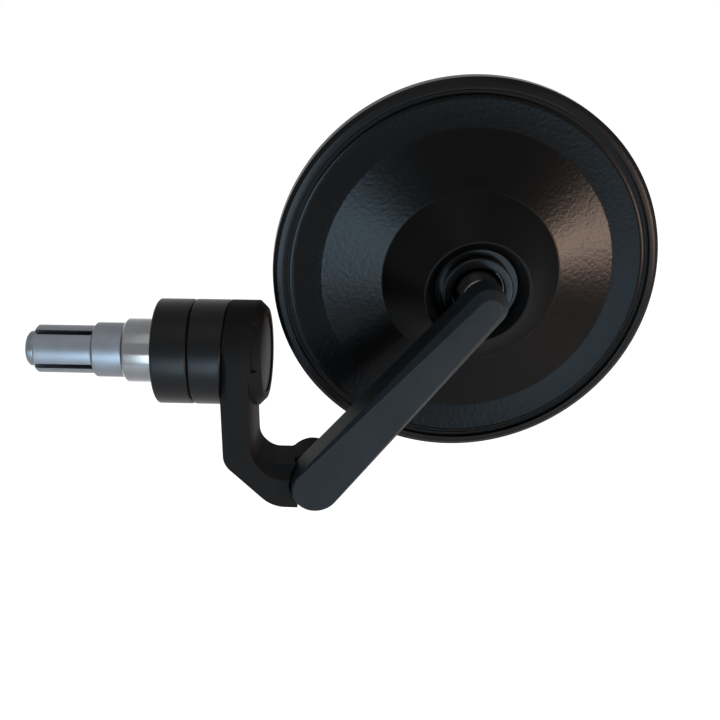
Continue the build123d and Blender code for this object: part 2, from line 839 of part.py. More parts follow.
with BuildPart() as rim_bezel:
    with BuildSketch(profile_plane):
        with BuildLine():
            Polyline(
                (bezel_inner_radius, bezel_top),
                (bezel_radius - bezel_edge_bevel, bezel_top),
                (bezel_radius, bezel_top - bezel_edge_bevel),
                (bezel_radius, bezel_bottom + bezel_edge_bevel),
                (bezel_radius - bezel_edge_bevel, bezel_bottom),
                (bezel_lip_radius, bezel_bottom),
                (bezel_lip_radius, bezel_bottom + bezel_lip_thickness),
                (bezel_inner_radius, bezel_bottom + bezel_lip_thickness),
                close=True,
            )
        make_face()
    revolve(axis=mirror_axis)

with BuildPart() as mirror_glass:
    with BuildSketch(profile_plane):
        with BuildLine():
            ThreePointArc(
                (0, glass_front_edge - glass_drop(0)),
                (glass_radius / 2, glass_front_edge - glass_drop(glass_radius / 2)),
                (glass_radius, glass_front_edge),
            )
            Line((glass_radius, glass_front_edge), (glass_radius, glass_back_edge))
            ThreePointArc(
                (glass_radius, glass_back_edge),
                (glass_radius / 2, glass_back_edge - glass_drop(glass_radius / 2)),
                (0, glass_back_edge - glass_drop(0)),
            )
            Line((0, glass_back_edge - glass_drop(0)), (0, glass_front_edge - glass_drop(0)))
        make_face()
    revolve(axis=mirror_axis)

backing_edge_height = glass_back_edge - glass_drop(backing_radius)

with BuildPart() as glass_backing:
    with BuildSketch(profile_plane):
        with BuildLine():
            ThreePointArc(
                (0, glass_back_edge - glass_drop(0)),
                (backing_radius / 2, glass_back_edge - glass_drop(backing_radius / 2)),
                (backing_radius, backing_edge_height),
            )
            Polyline(
                (backing_radius, backing_edge_height),
                (backing_radius, backing_edge_height + backing_thickness),
                (0, glass_back_edge - glass_drop(0) + backing_thickness),
                (0, glass_back_edge - glass_drop(0)),
            )
        make_face()
    revolve(axis=mirror_axis)

with BuildPart() as rim_seal:
    with BuildSketch(profile_plane):
        with Locations((seal_bead_circle, (seal_base_height + glass_back_edge) / 2)):
            Rectangle(seal_outer_radius - seal_inner_radius, seal_base_height - glass_back_edge)
        with Locations((seal_bead_circle, seal_base_height)):
            Circle(seal_bead_radius)
    revolve(axis=mirror_axis)


# Files

expansion_collet.part.label = "expansion_collet"
export_step(expansion_collet.part, "parts/expansion_collet.step")
expander_cone.part.label = "expander_cone"
export_step(expander_cone.part, "parts/expander_cone.step")
spacer_bush.part.label = "spacer_bush"
export_step(spacer_bush.part, "parts/spacer_bush.step")
inner_barrel_ring.part.label = "inner_barrel_ring"
export_step(inner_barrel_ring.part, "parts/inner_barrel_ring.step")
outer_barrel_ring.part.label = "outer_barrel_ring"
export_step(outer_barrel_ring.part, "parts/outer_barrel_ring.step")
clamp_bolt.part.label = "clamp_bolt"
export_step(clamp_bolt.part, "parts/clamp_bolt.step")
clamp_washer.part.label = "clamp_washer"
export_step(clamp_washer.part, "parts/clamp_washer.step")
lower_arm.part.label = "lower_arm"
export_step(lower_arm.part, "parts/lower_arm.step")
end_cap.part.label = "end_cap"
export_step(end_cap.part, "parts/end_cap.step")
pivot_bush.part.label = "pivot_bush"
export_step(pivot_bush.part, "parts/pivot_bush.step")
friction_washer.part.label = "friction_washer"
export_step(friction_washer.part, "parts/friction_washer.step")
upper_arm.part.label = "upper_arm"
export_step(upper_arm.part, "parts/upper_arm.step")
pivot_screw.part.label = "pivot_screw"
export_step(pivot_screw.part, "parts/pivot_screw.step")
wave_washer.part.label = "wave_washer"
export_step(wave_washer.part, "parts/wave_washer.step")
pivot_washer.part.label = "pivot_washer"
export_step(pivot_washer.part, "parts/pivot_washer.step")
ball_stud.part.label = "ball_stud"
export_step(ball_stud.part, "parts/ball_stud.step")
socket_cup_rear.part.label = "socket_cup_rear"
export_step(socket_cup_rear.part, "parts/socket_cup_rear.step")
socket_cup_front.part.label = "socket_cup_front"
export_step(socket_cup_front.part, "parts/socket_cup_front.step")
socket_spring.part.label = "socket_spring"
export_step(socket_spring.part, "parts/socket_spring.step")
socket_housing.part.label = "socket_housing"
export_step(socket_housing.part, "parts/socket_housing.step")
retaining_ring.part.label = "retaining_ring"
export_step(retaining_ring.part, "parts/retaining_ring.step")
housing_screws.part.label = "housing_screws"
export_step(housing_screws.part, "parts/housing_screws.step")
back_shell.part.label = "back_shell"
export_step(back_shell.part, "parts/back_shell.step")
rim_bezel.part.label = "rim_bezel"
export_step(rim_bezel.part, "parts/rim_bezel.step")
rim_seal.part.label = "rim_seal"
export_step(rim_seal.part, "parts/rim_seal.step")
glass_backing.part.label = "glass_backing"
export_step(glass_backing.part, "parts/glass_backing.step")
mirror_glass.part.label = "mirror_glass"
export_step(mirror_glass.part, "parts/mirror_glass.step")
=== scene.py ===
"""Looks of a round bar end mirror for a motorcycle, built on its CAD frame.

Lengths in the classes are millimetres in the row frame: X along the bar axis and outboard, Z up,
and the back of the mirror faces -Y. Turned pieces are swept from rounded profiles, the arms are
softened copies of their solids, and every finish is a procedural material.
"""

from __future__ import annotations

import logging
import math
from dataclasses import dataclass
from enum import Enum
from typing import Optional, Sequence, Union

import bmesh
import bpy
from mathutils import Matrix, Vector

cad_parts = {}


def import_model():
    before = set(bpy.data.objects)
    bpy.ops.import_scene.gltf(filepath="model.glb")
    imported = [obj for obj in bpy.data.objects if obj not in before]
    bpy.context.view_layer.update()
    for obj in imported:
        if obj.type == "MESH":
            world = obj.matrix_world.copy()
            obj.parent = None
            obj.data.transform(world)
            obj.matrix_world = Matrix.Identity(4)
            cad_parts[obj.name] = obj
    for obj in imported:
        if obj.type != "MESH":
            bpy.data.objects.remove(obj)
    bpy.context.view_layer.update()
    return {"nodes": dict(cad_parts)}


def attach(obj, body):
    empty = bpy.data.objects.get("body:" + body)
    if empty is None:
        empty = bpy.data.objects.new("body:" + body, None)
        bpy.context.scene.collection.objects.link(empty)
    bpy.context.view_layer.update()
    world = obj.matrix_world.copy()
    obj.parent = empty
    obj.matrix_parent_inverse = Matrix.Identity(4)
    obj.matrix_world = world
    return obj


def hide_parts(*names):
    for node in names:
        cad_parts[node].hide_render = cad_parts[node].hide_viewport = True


LOG = logging.getLogger("bar_end_mirror")
MM = 0.001
ROUND_STEPS = 6  # segments in each rounding of a turned profile
SIDE_SHARE = 0.49  # the most that one rounding takes of a side
TURN_STEPS = 216  # segments round a turned piece
SCREW_STEPS = 48  # segments round a small screw; the clamp bolt has twice as many
THREAD_STEPS = 48  # segments in each turn of a thread
RIDGE_STEPS = 8  # segments round the ridge of a thread
ON_AXIS = 1e-6  # a profile point nearer to the axis than this is a pole
SAME_POINT = 1e-8  # metres between points of a new mesh that are one
SAME_CAD_POINT = 2e-6  # the same for the loose triangles of a CAD node
SHARP_EDGE = 32.0  # edges bent by more degrees than this stay crisp
FLAT_EDGE = 0.6  # edges bent by fewer degrees than this join two triangles of one face
SOFT_EDGE = 22.0  # edges of the arms bent by more degrees than this are rounded
SOFT_STEPS = 3  # segments in each rounding of the arms

Node = bpy.types.Node
Socket = bpy.types.NodeSocket
Object = bpy.types.Object
Material = bpy.types.Material
Number = Union[int, float]
Colour = tuple[float, float, float]
WHITE: Colour = (1.0, 1.0, 1.0)
MIX_LOW, MIX_HIGH, MIX_OUT = 6, 7, 2  # colour sockets of a Mix node, which share their names


# ---- shader expressions


class Signal:
    """A socket that takes part in Python arithmetic; each operation adds one Math node."""

    def __init__(self, graph: "Graph", socket: Socket) -> None:
        """Keeps the socket and the graph that new nodes go to."""
        self.graph = graph
        self.socket = socket

    def _join(self, operation: str, left: object, right: object) -> "Signal":
        """Adds a Math node of the operation on two values or signals."""
        made = self.graph.node("ShaderNodeMath", {0: left, 1: right}, operation=operation)
        return Signal(self.graph, made.outputs[0])

    def __add__(self, other: object) -> "Signal":
        """Signal plus a value or signal."""
        return self._join("ADD", self, other)

    def __sub__(self, other: object) -> "Signal":
        """Signal minus a value or signal."""
        return self._join("SUBTRACT", self, other)

    def __mul__(self, other: object) -> "Signal":
        """Signal times a value or signal."""
        return self._join("MULTIPLY", self, other)

    def step(self, low: Number, high: Number) -> "Signal":
        """Smooth step from 0 at low to 1 at high.

        Args:
            low: where the step starts.
            high: where it ends; lower than low turns the step round.

        Returns:
            The stepped signal.
        """
        made = self.graph.node(
            "ShaderNodeMapRange",
            {"Value": self, "From Min": low, "From Max": high, "To Min": 0.0, "To Max": 1.0},
            interpolation_type="SMOOTHSTEP",
            clamp=True,
        )
        return Signal(self.graph, made.outputs[0])


class Graph:
    """Builds the node tree of one material or world."""

    def __init__(self, tree: bpy.types.NodeTree) -> None:
        """Empties the tree that the graph fills."""
        self.tree = tree
        tree.nodes.clear()

    def node(self, kind: str, values: Optional[dict] = None, **settings: object) -> Node:
        """Adds one node.

        Args:
            kind: the node's type.
            values: numbers, colours, signals or sockets, by input name or index.
            **settings: its own properties, set before its sockets.

        Returns:
            The new node.
        """
        made = self.tree.nodes.new(kind)
        for name, value in settings.items():
            setattr(made, name, value)
        for key, value in (values or {}).items():
            self.feed(made.inputs[key], value)
        return made

    def feed(self, socket: Socket, value: object) -> None:
        """Links a signal or socket, or sets a plain value."""
        if isinstance(value, Signal):
            self.tree.links.new(value.socket, socket)
        elif isinstance(value, Socket):
            self.tree.links.new(value, socket)
        elif isinstance(value, tuple) and socket.type == "RGBA":
            socket.default_value = (*value[:3], 1.0)
        else:
            socket.default_value = value

    def place(self, frame: "Frame") -> Socket:
        """Object coordinates in millimetres in the axes that a pattern is centred on."""
        coordinate = self.node("ShaderNodeTexCoord")
        turned = frame.matrix().inverted()
        values = {
            "Vector": coordinate.outputs["Object"],
            "Location": tuple(turned.translation / MM),
            "Rotation": tuple(turned.to_euler()),
            "Scale": (1.0 / MM,) * 3,
        }
        return self.node("ShaderNodeMapping", values, vector_type="POINT").outputs[0]

    def noise(
        self, vector: object, scale: float, detail: float = 2.0, rough: float = 0.5
    ) -> Signal:
        """Noise from 0 to 1 with the given number of lumps per millimetre."""
        values = {"Vector": vector, "Scale": scale, "Detail": detail, "Roughness": rough}
        return Signal(self, self.node("ShaderNodeTexNoise", values).outputs[0])

    def cells(self, vector: object, scale: float) -> Signal:
        """Distance to the nearest cell centre, for grain and pebbling."""
        values = {"Vector": vector, "Scale": scale, "Smoothness": 0.6}
        made = self.node("ShaderNodeTexVoronoi", values, feature="SMOOTH_F1")
        return Signal(self, made.outputs[0])

    def radius(self, vector: object) -> Signal:
        """Distance from the frame's Z axis, in millimetres."""
        values = {0: vector, 1: (1.0, 1.0, 0.0)}
        flat = self.node("ShaderNodeVectorMath", values, operation="MULTIPLY")
        made = self.node("ShaderNodeVectorMath", {0: flat.outputs[0]}, operation="LENGTH")
        return Signal(self, made.outputs["Value"])

    def axial(self, vector: object) -> Signal:
        """Height along the frame's Z axis, in millimetres."""
        made = self.node("ShaderNodeSeparateXYZ", {0: vector})
        return Signal(self, made.outputs[2])

    def mix(self, amount: object, low: object, high: object) -> Socket:
        """Colour between low and high."""
        values = {"Factor": amount, MIX_LOW: low, MIX_HIGH: high}
        return self.node("ShaderNodeMix", values, data_type="RGBA").outputs[MIX_OUT]

    def bump(self, height: object, depth: float) -> Socket:
        """Normal from a height, whose full range is depth millimetres."""
        values = {"Height": height, "Distance": depth * MM, "Strength": 1.0}
        return self.node("ShaderNodeBump", values).outputs[0]


def facing(turn: float, height: float) -> Vector:
    """Direction turned from -Y toward +X and raised, both in degrees."""
    turn, height = math.radians(turn), math.radians(height)
    level = math.cos(height)
    return Vector((math.sin(turn) * level, -math.cos(turn) * level, math.sin(height)))


def level_across(turn: float) -> Vector:
    """Level direction square to the one that is turned by so many degrees."""
    return Vector((math.cos(math.radians(turn)), math.sin(math.radians(turn)), 0.0))


@dataclass(frozen=True)
class Frame:
    """Axes that a piece is turned about: Z is its axis, X a direction across it."""

    origin: Vector
    along: Vector
    across: Vector

    def matrix(self) -> Matrix:
        """Frame to row coordinates, in metres."""
        z = self.along.normalized()
        x = (self.across - z * self.across.dot(z)).normalized()
        y = z.cross(x)
        made = Matrix((x, y, z)).transposed().to_4x4()
        made.translation = self.origin * MM
        return made


@dataclass(frozen=True)
class Bearing:
    """Where the mirror's ball sits and which way its back faces, in millimetres and degrees."""

    ball: tuple[float, float, float] = (75.6966, 5.6, 15.15)
    yaw: float = 9.7
    tilt: float = -3.6
    arm_face: float = 15.8
    pivot: tuple[float, float] = (-39.72, -43.91)

    def mirror(self) -> Frame:
        """Axes at the centre of the ball, with Z the way that the back of the mirror faces."""
        return Frame(Vector(self.ball), facing(self.yaw, self.tilt), level_across(self.yaw))

    def arm(self) -> Frame:
        """Axes on the upper arm's front face at its pivot, with X along the arm."""
        normal, across = facing(self.yaw, self.tilt), level_across(self.yaw)
        up = normal.cross(across)
        face = Vector(self.ball) + normal * self.arm_face
        pivot = face + across * self.pivot[0] + up * self.pivot[1]
        return Frame(pivot, normal, face - pivot)


BEARING = Bearing()
BAR = Frame(Vector((0.0, 0.0, 0.0)), Vector((1.0, 0.0, 0.0)), Vector((0.0, -1.0, 0.0)))
MIRROR = BEARING.mirror()
ARM = BEARING.arm()


# ---- finishes


class Slot(Enum):
    """Material slots of the record."""

    BLACK_METAL = "black_metal"
    BLACK_SHELL = "black_shell"
    SATIN = "satin_aluminium"
    POLISHED = "polished_steel"
    STEEL = "steel"
    BLACK_STEEL = "black_steel"
    BRONZE = "bronze"
    CAP = "black_plastic"
    BEARING = "bearing_plastic"
    RUBBER = "rubber"
    FOAM = "foam"
    MIRROR = "mirror"


@dataclass(frozen=True)
class Finish:
    """What every finish shares: its name, slot, colour and gloss, and how its colour wanders."""

    name: str
    slot: Slot
    colour: Colour
    rough: float = 0.4
    metallic: float = 0.0
    specular: float = 0.5
    frame: Frame = MIRROR
    worn: tuple[float, float] = (0.3, 0.75)
    worn_gain: float = 1.3

    def build(self) -> Material:
        """Makes the material and its Principled shader."""
        material = bpy.data.materials.new(self.name)
        material.use_nodes = True
        graph = Graph(material.node_tree)
        values = {
            "Base Color": self.colour,
            "Roughness": self.rough,
            "Metallic": self.metallic,
            "Specular IOR Level": self.specular,
        }
        values.update(self.dress(graph, graph.place(self.frame)))
        shader = graph.node("ShaderNodeBsdfPrincipled", values)
        graph.node("ShaderNodeOutputMaterial", {0: shader.outputs[0]})
        return material

    def dress(self, graph: Graph, where: Socket) -> dict:
        """What the pattern feeds into the shader, by socket name."""
        return {}

    def tone(self, graph: Graph, pattern: Signal) -> Socket:
        """Base colour that rises to worn_gain times itself where the pattern is high."""
        high = tuple(min(1.0, part * self.worn_gain) for part in self.colour)
        return graph.mix(pattern.step(*self.worn), self.colour, high)


@dataclass(frozen=True)
class Anodised(Finish):
    """Blasted and anodised metal: a fine even grain with slow changes of gloss."""

    frame: Frame = BAR
    grain: float = 7.0
    patches: float = 0.09
    depth: float = 0.008
    spread: float = 0.05

    def dress(self, graph: Graph, where: Socket) -> dict:
        """Adds blasted grain and a slow change of gloss."""
        slow = graph.noise(where, self.patches, detail=3.0)
        fine = graph.noise(where, self.grain, rough=0.6)
        return {
            "Base Color": self.tone(graph, slow),
            "Roughness": (slow + fine - 1.0) * self.spread + self.rough,
            "Normal": graph.bump(fine, self.depth),
        }


@dataclass(frozen=True)
class Turned(Finish):
    """Lathe-turned metal: fine rings round the axis."""

    frame: Frame = BAR
    pitch: float = 0.22
    stains: float = 0.22
    depth: float = 0.004
    spread: float = 0.08
    stain_spread: float = 0.06
    worn: tuple[float, float] = (0.35, 0.7)
    worn_gain: float = 1.12

    def dress(self, graph: Graph, where: Socket) -> dict:
        """Adds tool rings along and across the axis and a soft stain."""
        values = {0: graph.radius(where), 1: graph.axial(where)}
        lane = graph.node("ShaderNodeCombineXYZ", values)
        rings = graph.noise(lane.outputs[0], 1.0 / self.pitch, rough=0.7)
        stain = graph.noise(where, self.stains, detail=3.0)
        base = self.rough - (self.spread + self.stain_spread) / 2.0
        return {
            "Base Color": self.tone(graph, stain),
            "Roughness": rings * self.spread + stain * self.stain_spread + base,
            "Normal": graph.bump(rings, self.depth),
        }


@dataclass(frozen=True)
class Grained(Finish):
    """Painted shell with a leather-like grain on its outer rings and a smoother centre."""

    smooth_radius: float = 21.9
    rim_radius: float = 43.1
    fade_in: float = 0.2
    fade_out: float = 0.3
    cell: float = 0.9
    pebble_share: float = 0.45
    wave_share: float = 0.8
    fine_share: float = 0.08
    depth: float = 0.036
    fine_lumps: float = 4.0
    patches: float = 0.06
    patch_gloss: float = 0.04
    fine_gloss: float = 0.03
    centre_dull: float = 0.11
    ring_dull: float = -0.03

    def dress(self, graph: Graph, where: Socket) -> dict:
        """Adds pebbled grain between the smooth centre and the rim."""
        radius = graph.radius(where)
        outside = radius.step(self.smooth_radius - self.fade_in, self.smooth_radius + self.fade_out)
        inside = radius.step(self.rim_radius, self.rim_radius - self.fade_out)
        pebble = graph.cells(where, 1.0 / self.cell)
        waves = graph.noise(where, self.wave_share / self.cell, detail=3.0, rough=0.55)
        fine = graph.noise(where, self.fine_lumps)
        slow = graph.noise(where, self.patches)
        height = (pebble * self.pebble_share + waves) * outside * inside + fine * self.fine_share
        dull = outside * (self.ring_dull - self.centre_dull) + (self.rough + self.centre_dull)
        return {
            "Base Color": self.tone(graph, slow),
            "Roughness": slow * self.patch_gloss + fine * self.fine_gloss + dull,
            "Normal": graph.bump(height, self.depth),
        }


@dataclass(frozen=True)
class Moulded(Finish):
    """Moulded plastic, rubber or foam with a soft uneven skin."""

    lump: float = 1.2
    depth: float = 0.01
    spread: float = 0.12
    worn: tuple[float, float] = (0.3, 0.7)
    worn_gain: float = 1.2

    def dress(self, graph: Graph, where: Socket) -> dict:
        """Adds a fine uneven skin."""
        skin = graph.noise(where, self.lump, detail=4.0, rough=0.6)
        return {
            "Base Color": self.tone(graph, skin),
            "Roughness": skin * self.spread + (self.rough - self.spread / 2.0),
            "Normal": graph.bump(skin, self.depth),
        }


@dataclass(frozen=True)
class ShadowedBall(Finish):
    """Polished ball with painted shade: dark round the ball outside a lit zone near its axis, where
    the socket ring shades it, and dark on its neck under the arm.
    """

    # radii and height that bound the painted shade on the ball and its neck
    lit_radius: float = 3.7
    shade_radius: float = 4.3
    neck_height: float = 5.2
    fade: float = 0.3
    lumps: float = 0.9
    waver: float = 0.4
    # colour of the painted shade in the gap to the socket ring and on the neck
    painted_shade: Colour = (0.008, 0.008, 0.008)

    def dress(self, graph: Graph, where: Socket) -> dict:
        """Paints shade round the ball outside the lit zone and on its neck."""
        uneven = graph.noise(where, self.lumps, detail=3.0) * self.waver
        # painted shade: dark outside the lit zone, where the ball sits in the shadow of its socket
        # ring
        lit_zone = (graph.radius(where) + uneven).step(self.shade_radius, self.lit_radius)
        # painted shade on the neck, under the end of the arm
        above = graph.axial(where).step(self.neck_height + self.fade, self.neck_height)
        return {"Base Color": graph.mix(lit_zone * above, self.painted_shade, self.colour)}


@dataclass(frozen=True)
class Silvered(Finish):
    """Silvered mirror glass with the faintest film of dust, a little more of it at the edge."""

    lumps: float = 0.12
    dusty: tuple[float, float] = (0.45, 0.9)
    dust: float = 0.03
    edge: tuple[float, float] = (38.0, 45.0)
    edge_dust: float = 0.02

    def dress(self, graph: Graph, where: Socket) -> dict:
        """Adds a faint film that grows towards the edge."""
        painted_shade = graph.noise(where, self.lumps, detail=4.0, rough=0.65).step(*self.dusty)
        edge = graph.radius(where).step(*self.edge)
        return {"Roughness": painted_shade * self.dust + edge * self.edge_dust + self.rough}


class Workshop:
    """Holds each finish once and paints the pieces."""

    FINISHES: tuple[Finish, ...] = (
        Anodised(
            "arm_black", Slot.BLACK_METAL, (0.0062, 0.0078, 0.009),
            rough=0.42, specular=0.066, frame=ARM,
        ),
        Anodised(
            "crank_black", Slot.BLACK_METAL, (0.0052, 0.005, 0.0048), rough=0.58, specular=0.028
        ),
        Anodised(
            "barrel_black", Slot.BLACK_METAL, (0.0026, 0.0026, 0.0027),
            rough=0.35, specular=0.095, grain=9.0, depth=0.004,
        ),
        Grained(
            "rim_black", Slot.BLACK_METAL, (0.0034, 0.0033, 0.0032),
            rough=0.26, specular=0.055, rim_radius=48.0, depth=0.012,
        ),
        Grained(
            "shell_black", Slot.BLACK_SHELL, (0.0005, 0.0005, 0.0005), rough=0.25, specular=0.055
        ),
        Turned("collet_satin", Slot.SATIN, (0.13, 0.142, 0.158), rough=0.44, metallic=1.0),
        Turned("cone_satin", Slot.SATIN, (0.11, 0.12, 0.13), rough=0.34, metallic=1.0),
        Turned(
            "ring_polished", Slot.POLISHED, (0.15, 0.155, 0.16),
            rough=0.15, metallic=1.0, depth=0.0015, spread=0.04,
        ),
        # the ball's finish has painted shade round it and on its neck
        ShadowedBall("ball_painted_shade", Slot.POLISHED, (0.16, 0.145, 0.135), rough=0.22, metallic=1.0),
        Turned("plain_steel", Slot.STEEL, (0.45, 0.45, 0.46), rough=0.34, metallic=1.0, frame=ARM),
        Turned("black_oxide", Slot.BLACK_STEEL, (0.02, 0.02, 0.022), rough=0.4, specular=0.3),
        Turned("bush_bronze", Slot.BRONZE, (0.42, 0.28, 0.13), rough=0.4, metallic=1.0, frame=ARM),
        Turned(
            "ring_black", Slot.BLACK_METAL, (0.002, 0.002, 0.002),
            rough=0.22, specular=0.11, frame=MIRROR, depth=0.003,
        ),
        Moulded(
            "cap_black", Slot.CAP, (0.005, 0.0045, 0.004),
            rough=0.5, specular=0.06, frame=BAR, lump=4.0,
        ),
        Moulded("cup_acetal", Slot.BEARING, (0.66, 0.64, 0.58), rough=0.4),
        Moulded(
            "seal_rubber", Slot.RUBBER, (0.003, 0.003, 0.003), rough=0.4, specular=0.07, lump=3.0
        ),
        Moulded(
            "pad_foam", Slot.FOAM, (0.06, 0.06, 0.06), rough=0.9, specular=0.1, lump=2.0, depth=0.05
        ),
        Silvered("mirror_silver", Slot.MIRROR, (0.86, 0.88, 0.89), rough=0.012, metallic=1.0),
    )

    def __init__(self) -> None:
        """Builds every material."""
        self.finishes = {finish.name: finish for finish in self.FINISHES}
        self.materials = {finish.name: finish.build() for finish in self.FINISHES}

    def paint(self, obj: Object, name: str) -> Object:
        """Gives an object one finish.

        Args:
            obj: the piece or CAD node.
            name: the finish.

        Returns:
            The same object.
        """
        obj.data.materials.clear()
        obj.data.materials.append(self.materials[name])
        return obj


# ---- shapes


@dataclass(frozen=True)
class Corner:
    """A corner of a turned profile: height along the axis, radius and rounding.

    Its flats make it a polygon round the axis, and its lean, in degrees, tilts it across the axis.
    """

    height: float
    radius: float
    soft: float = 0.0
    flats: int = 0
    lean: float = 0.0


def outline(*rows: Union[Corner, tuple[float, ...]]) -> tuple[Corner, ...]:
    """Profile from rows of height and radius, and where wanted rounding, flats and lean."""
    return tuple(row if isinstance(row, Corner) else Corner(*row) for row in rows)


def rounded(corners: Sequence[Corner]) -> list[Corner]:
    """Closed profile with its corners rounded.

    Args:
        corners: the profile's corners in order.

    Returns:
        The points of the profile, none of them with a rounding left.
    """
    out: list[Corner] = []
    count = len(corners)
    for index, corner in enumerate(corners):
        here = Vector((corner.height, corner.radius))
        behind, ahead_of = corners[index - 1], corners[(index + 1) % count]
        back = Vector((behind.height, behind.radius)) - here
        ahead = Vector((ahead_of.height, ahead_of.radius)) - here
        if corner.soft <= 0.0:
            out.append(corner)
            continue
        half = back.angle(ahead) / 2.0
        reach = corner.soft / math.tan(half)
        reach = min(reach, back.length * SIDE_SHARE, ahead.length * SIDE_SHARE)
        bow = reach * math.tan(half)
        inward = (back.normalized() + ahead.normalized()).normalized()
        centre = here + inward * (bow / math.sin(half))
        start = here + back.normalized() * reach - centre
        end = here + ahead.normalized() * reach - centre
        sweep = start.angle_signed(end)
        for step in range(ROUND_STEPS + 1):
            spoke = start.copy()
            spoke.rotate(Matrix.Rotation(-sweep * step / ROUND_STEPS, 2))
            out.append(Corner(centre.x + spoke.x, centre.y + spoke.y, lean=corner.lean))
    return out


def linked(name: str, data: bpy.types.ID) -> Object:
    """Puts new data into the scene as an object at the origin."""
    obj = bpy.data.objects.new(name, data)
    bpy.context.scene.collection.objects.link(obj)
    return obj


def new_object(name: str, mesh: bmesh.types.BMesh) -> Object:
    """Turns a bmesh into a smooth-shaded object at the origin.

    Args:
        name: the piece's name.
        mesh: the finished bmesh, which is freed.

    Returns:
        The new object.
    """
    bmesh.ops.remove_doubles(mesh, verts=mesh.verts, dist=SAME_POINT)
    bmesh.ops.recalc_face_normals(mesh, faces=mesh.faces)
    data = bpy.data.meshes.new(name)
    mesh.to_mesh(data)
    mesh.free()
    data.shade_smooth()
    data.set_sharp_from_angle(angle=math.radians(SHARP_EDGE))
    return linked(name, data)


def around(corner: Corner, turn: float) -> Vector:
    """Point of a turned profile at a turn about the axis, in metres and in the axis's own frame."""
    radius = corner.radius
    if corner.flats:
        slice_angle = math.tau / corner.flats
        radius /= math.cos((turn % slice_angle) - slice_angle / 2.0)
    across, side = radius * math.cos(turn), radius * math.sin(turn)
    return Vector((across, side, corner.height + side * math.tan(math.radians(corner.lean)))) * MM


def lathe(mesh: bmesh.types.BMesh, place: Matrix, profile: Sequence[Corner], steps: int) -> None:
    """Adds a closed profile swept round the axis to a bmesh.

    Args:
        mesh: the bmesh that gets the faces.
        place: frame of the axis.
        profile: points of the profile.
        steps: segments round the axis.
    """
    rings: list[list[bmesh.types.BMVert]] = []
    for corner in profile:
        if corner.radius < ON_AXIS:
            rings.append([mesh.verts.new(place @ around(corner, 0.0))])
            continue
        turns = (math.tau * step / steps for step in range(steps))
        rings.append([mesh.verts.new(place @ around(corner, turn)) for turn in turns])
    for index, ring in enumerate(rings):
        other = rings[(index + 1) % len(rings)]
        if len(ring) == 1 and len(other) == 1:
            continue
        for step in range(steps):
            after = (step + 1) % steps
            if len(ring) == 1:
                mesh.faces.new((ring[0], other[step], other[after]))
            elif len(other) == 1:
                mesh.faces.new((ring[step], other[0], ring[after]))
            else:
                mesh.faces.new((ring[step], other[step], other[after], ring[after]))


def turned(name: str, frame: Frame, corners: Sequence[Corner]) -> Object:
    """Sweeps a rounded profile round a frame's axis.

    Args:
        name: the piece's name.
        frame: the axis.
        corners: the profile.

    Returns:
        The turned piece.
    """
    mesh = bmesh.new()
    lathe(mesh, frame.matrix(), rounded(corners), TURN_STEPS)
    return new_object(name, mesh)


def softened(node: Object, name: str, width: float) -> Object:
    """Copies a CAD node into a clean mesh with rounded edges.

    Args:
        node: the CAD node.
        name: the copy's name.
        width: rounding of its edges, in millimetres.

    Returns:
        The new piece.
    """
    mesh = bmesh.new()
    mesh.from_mesh(node.data)
    bmesh.ops.remove_doubles(mesh, verts=mesh.verts, dist=SAME_CAD_POINT)
    flat = math.radians(FLAT_EDGE)
    bmesh.ops.dissolve_limit(mesh, angle_limit=flat, verts=mesh.verts, edges=mesh.edges)
    obj = new_object(name, mesh)
    bevel = obj.modifiers.new("soft_edges", "BEVEL")
    bevel.width = width * MM
    bevel.segments = SOFT_STEPS
    bevel.limit_method = "ANGLE"
    bevel.angle_limit = math.radians(SOFT_EDGE)
    bevel.harden_normals = False
    bevel.use_clamp_overlap = True
    return settled(obj)


def settled(obj: Object) -> Object:
    """Applies an object's modifiers into its mesh."""
    graph = bpy.context.evaluated_depsgraph_get()
    data = bpy.data.meshes.new_from_object(obj.evaluated_get(graph), depsgraph=graph)
    obj.modifiers.clear()
    old, obj.data = obj.data, data
    bpy.data.meshes.remove(old)
    return obj


# ---- repeats by Geometry Nodes


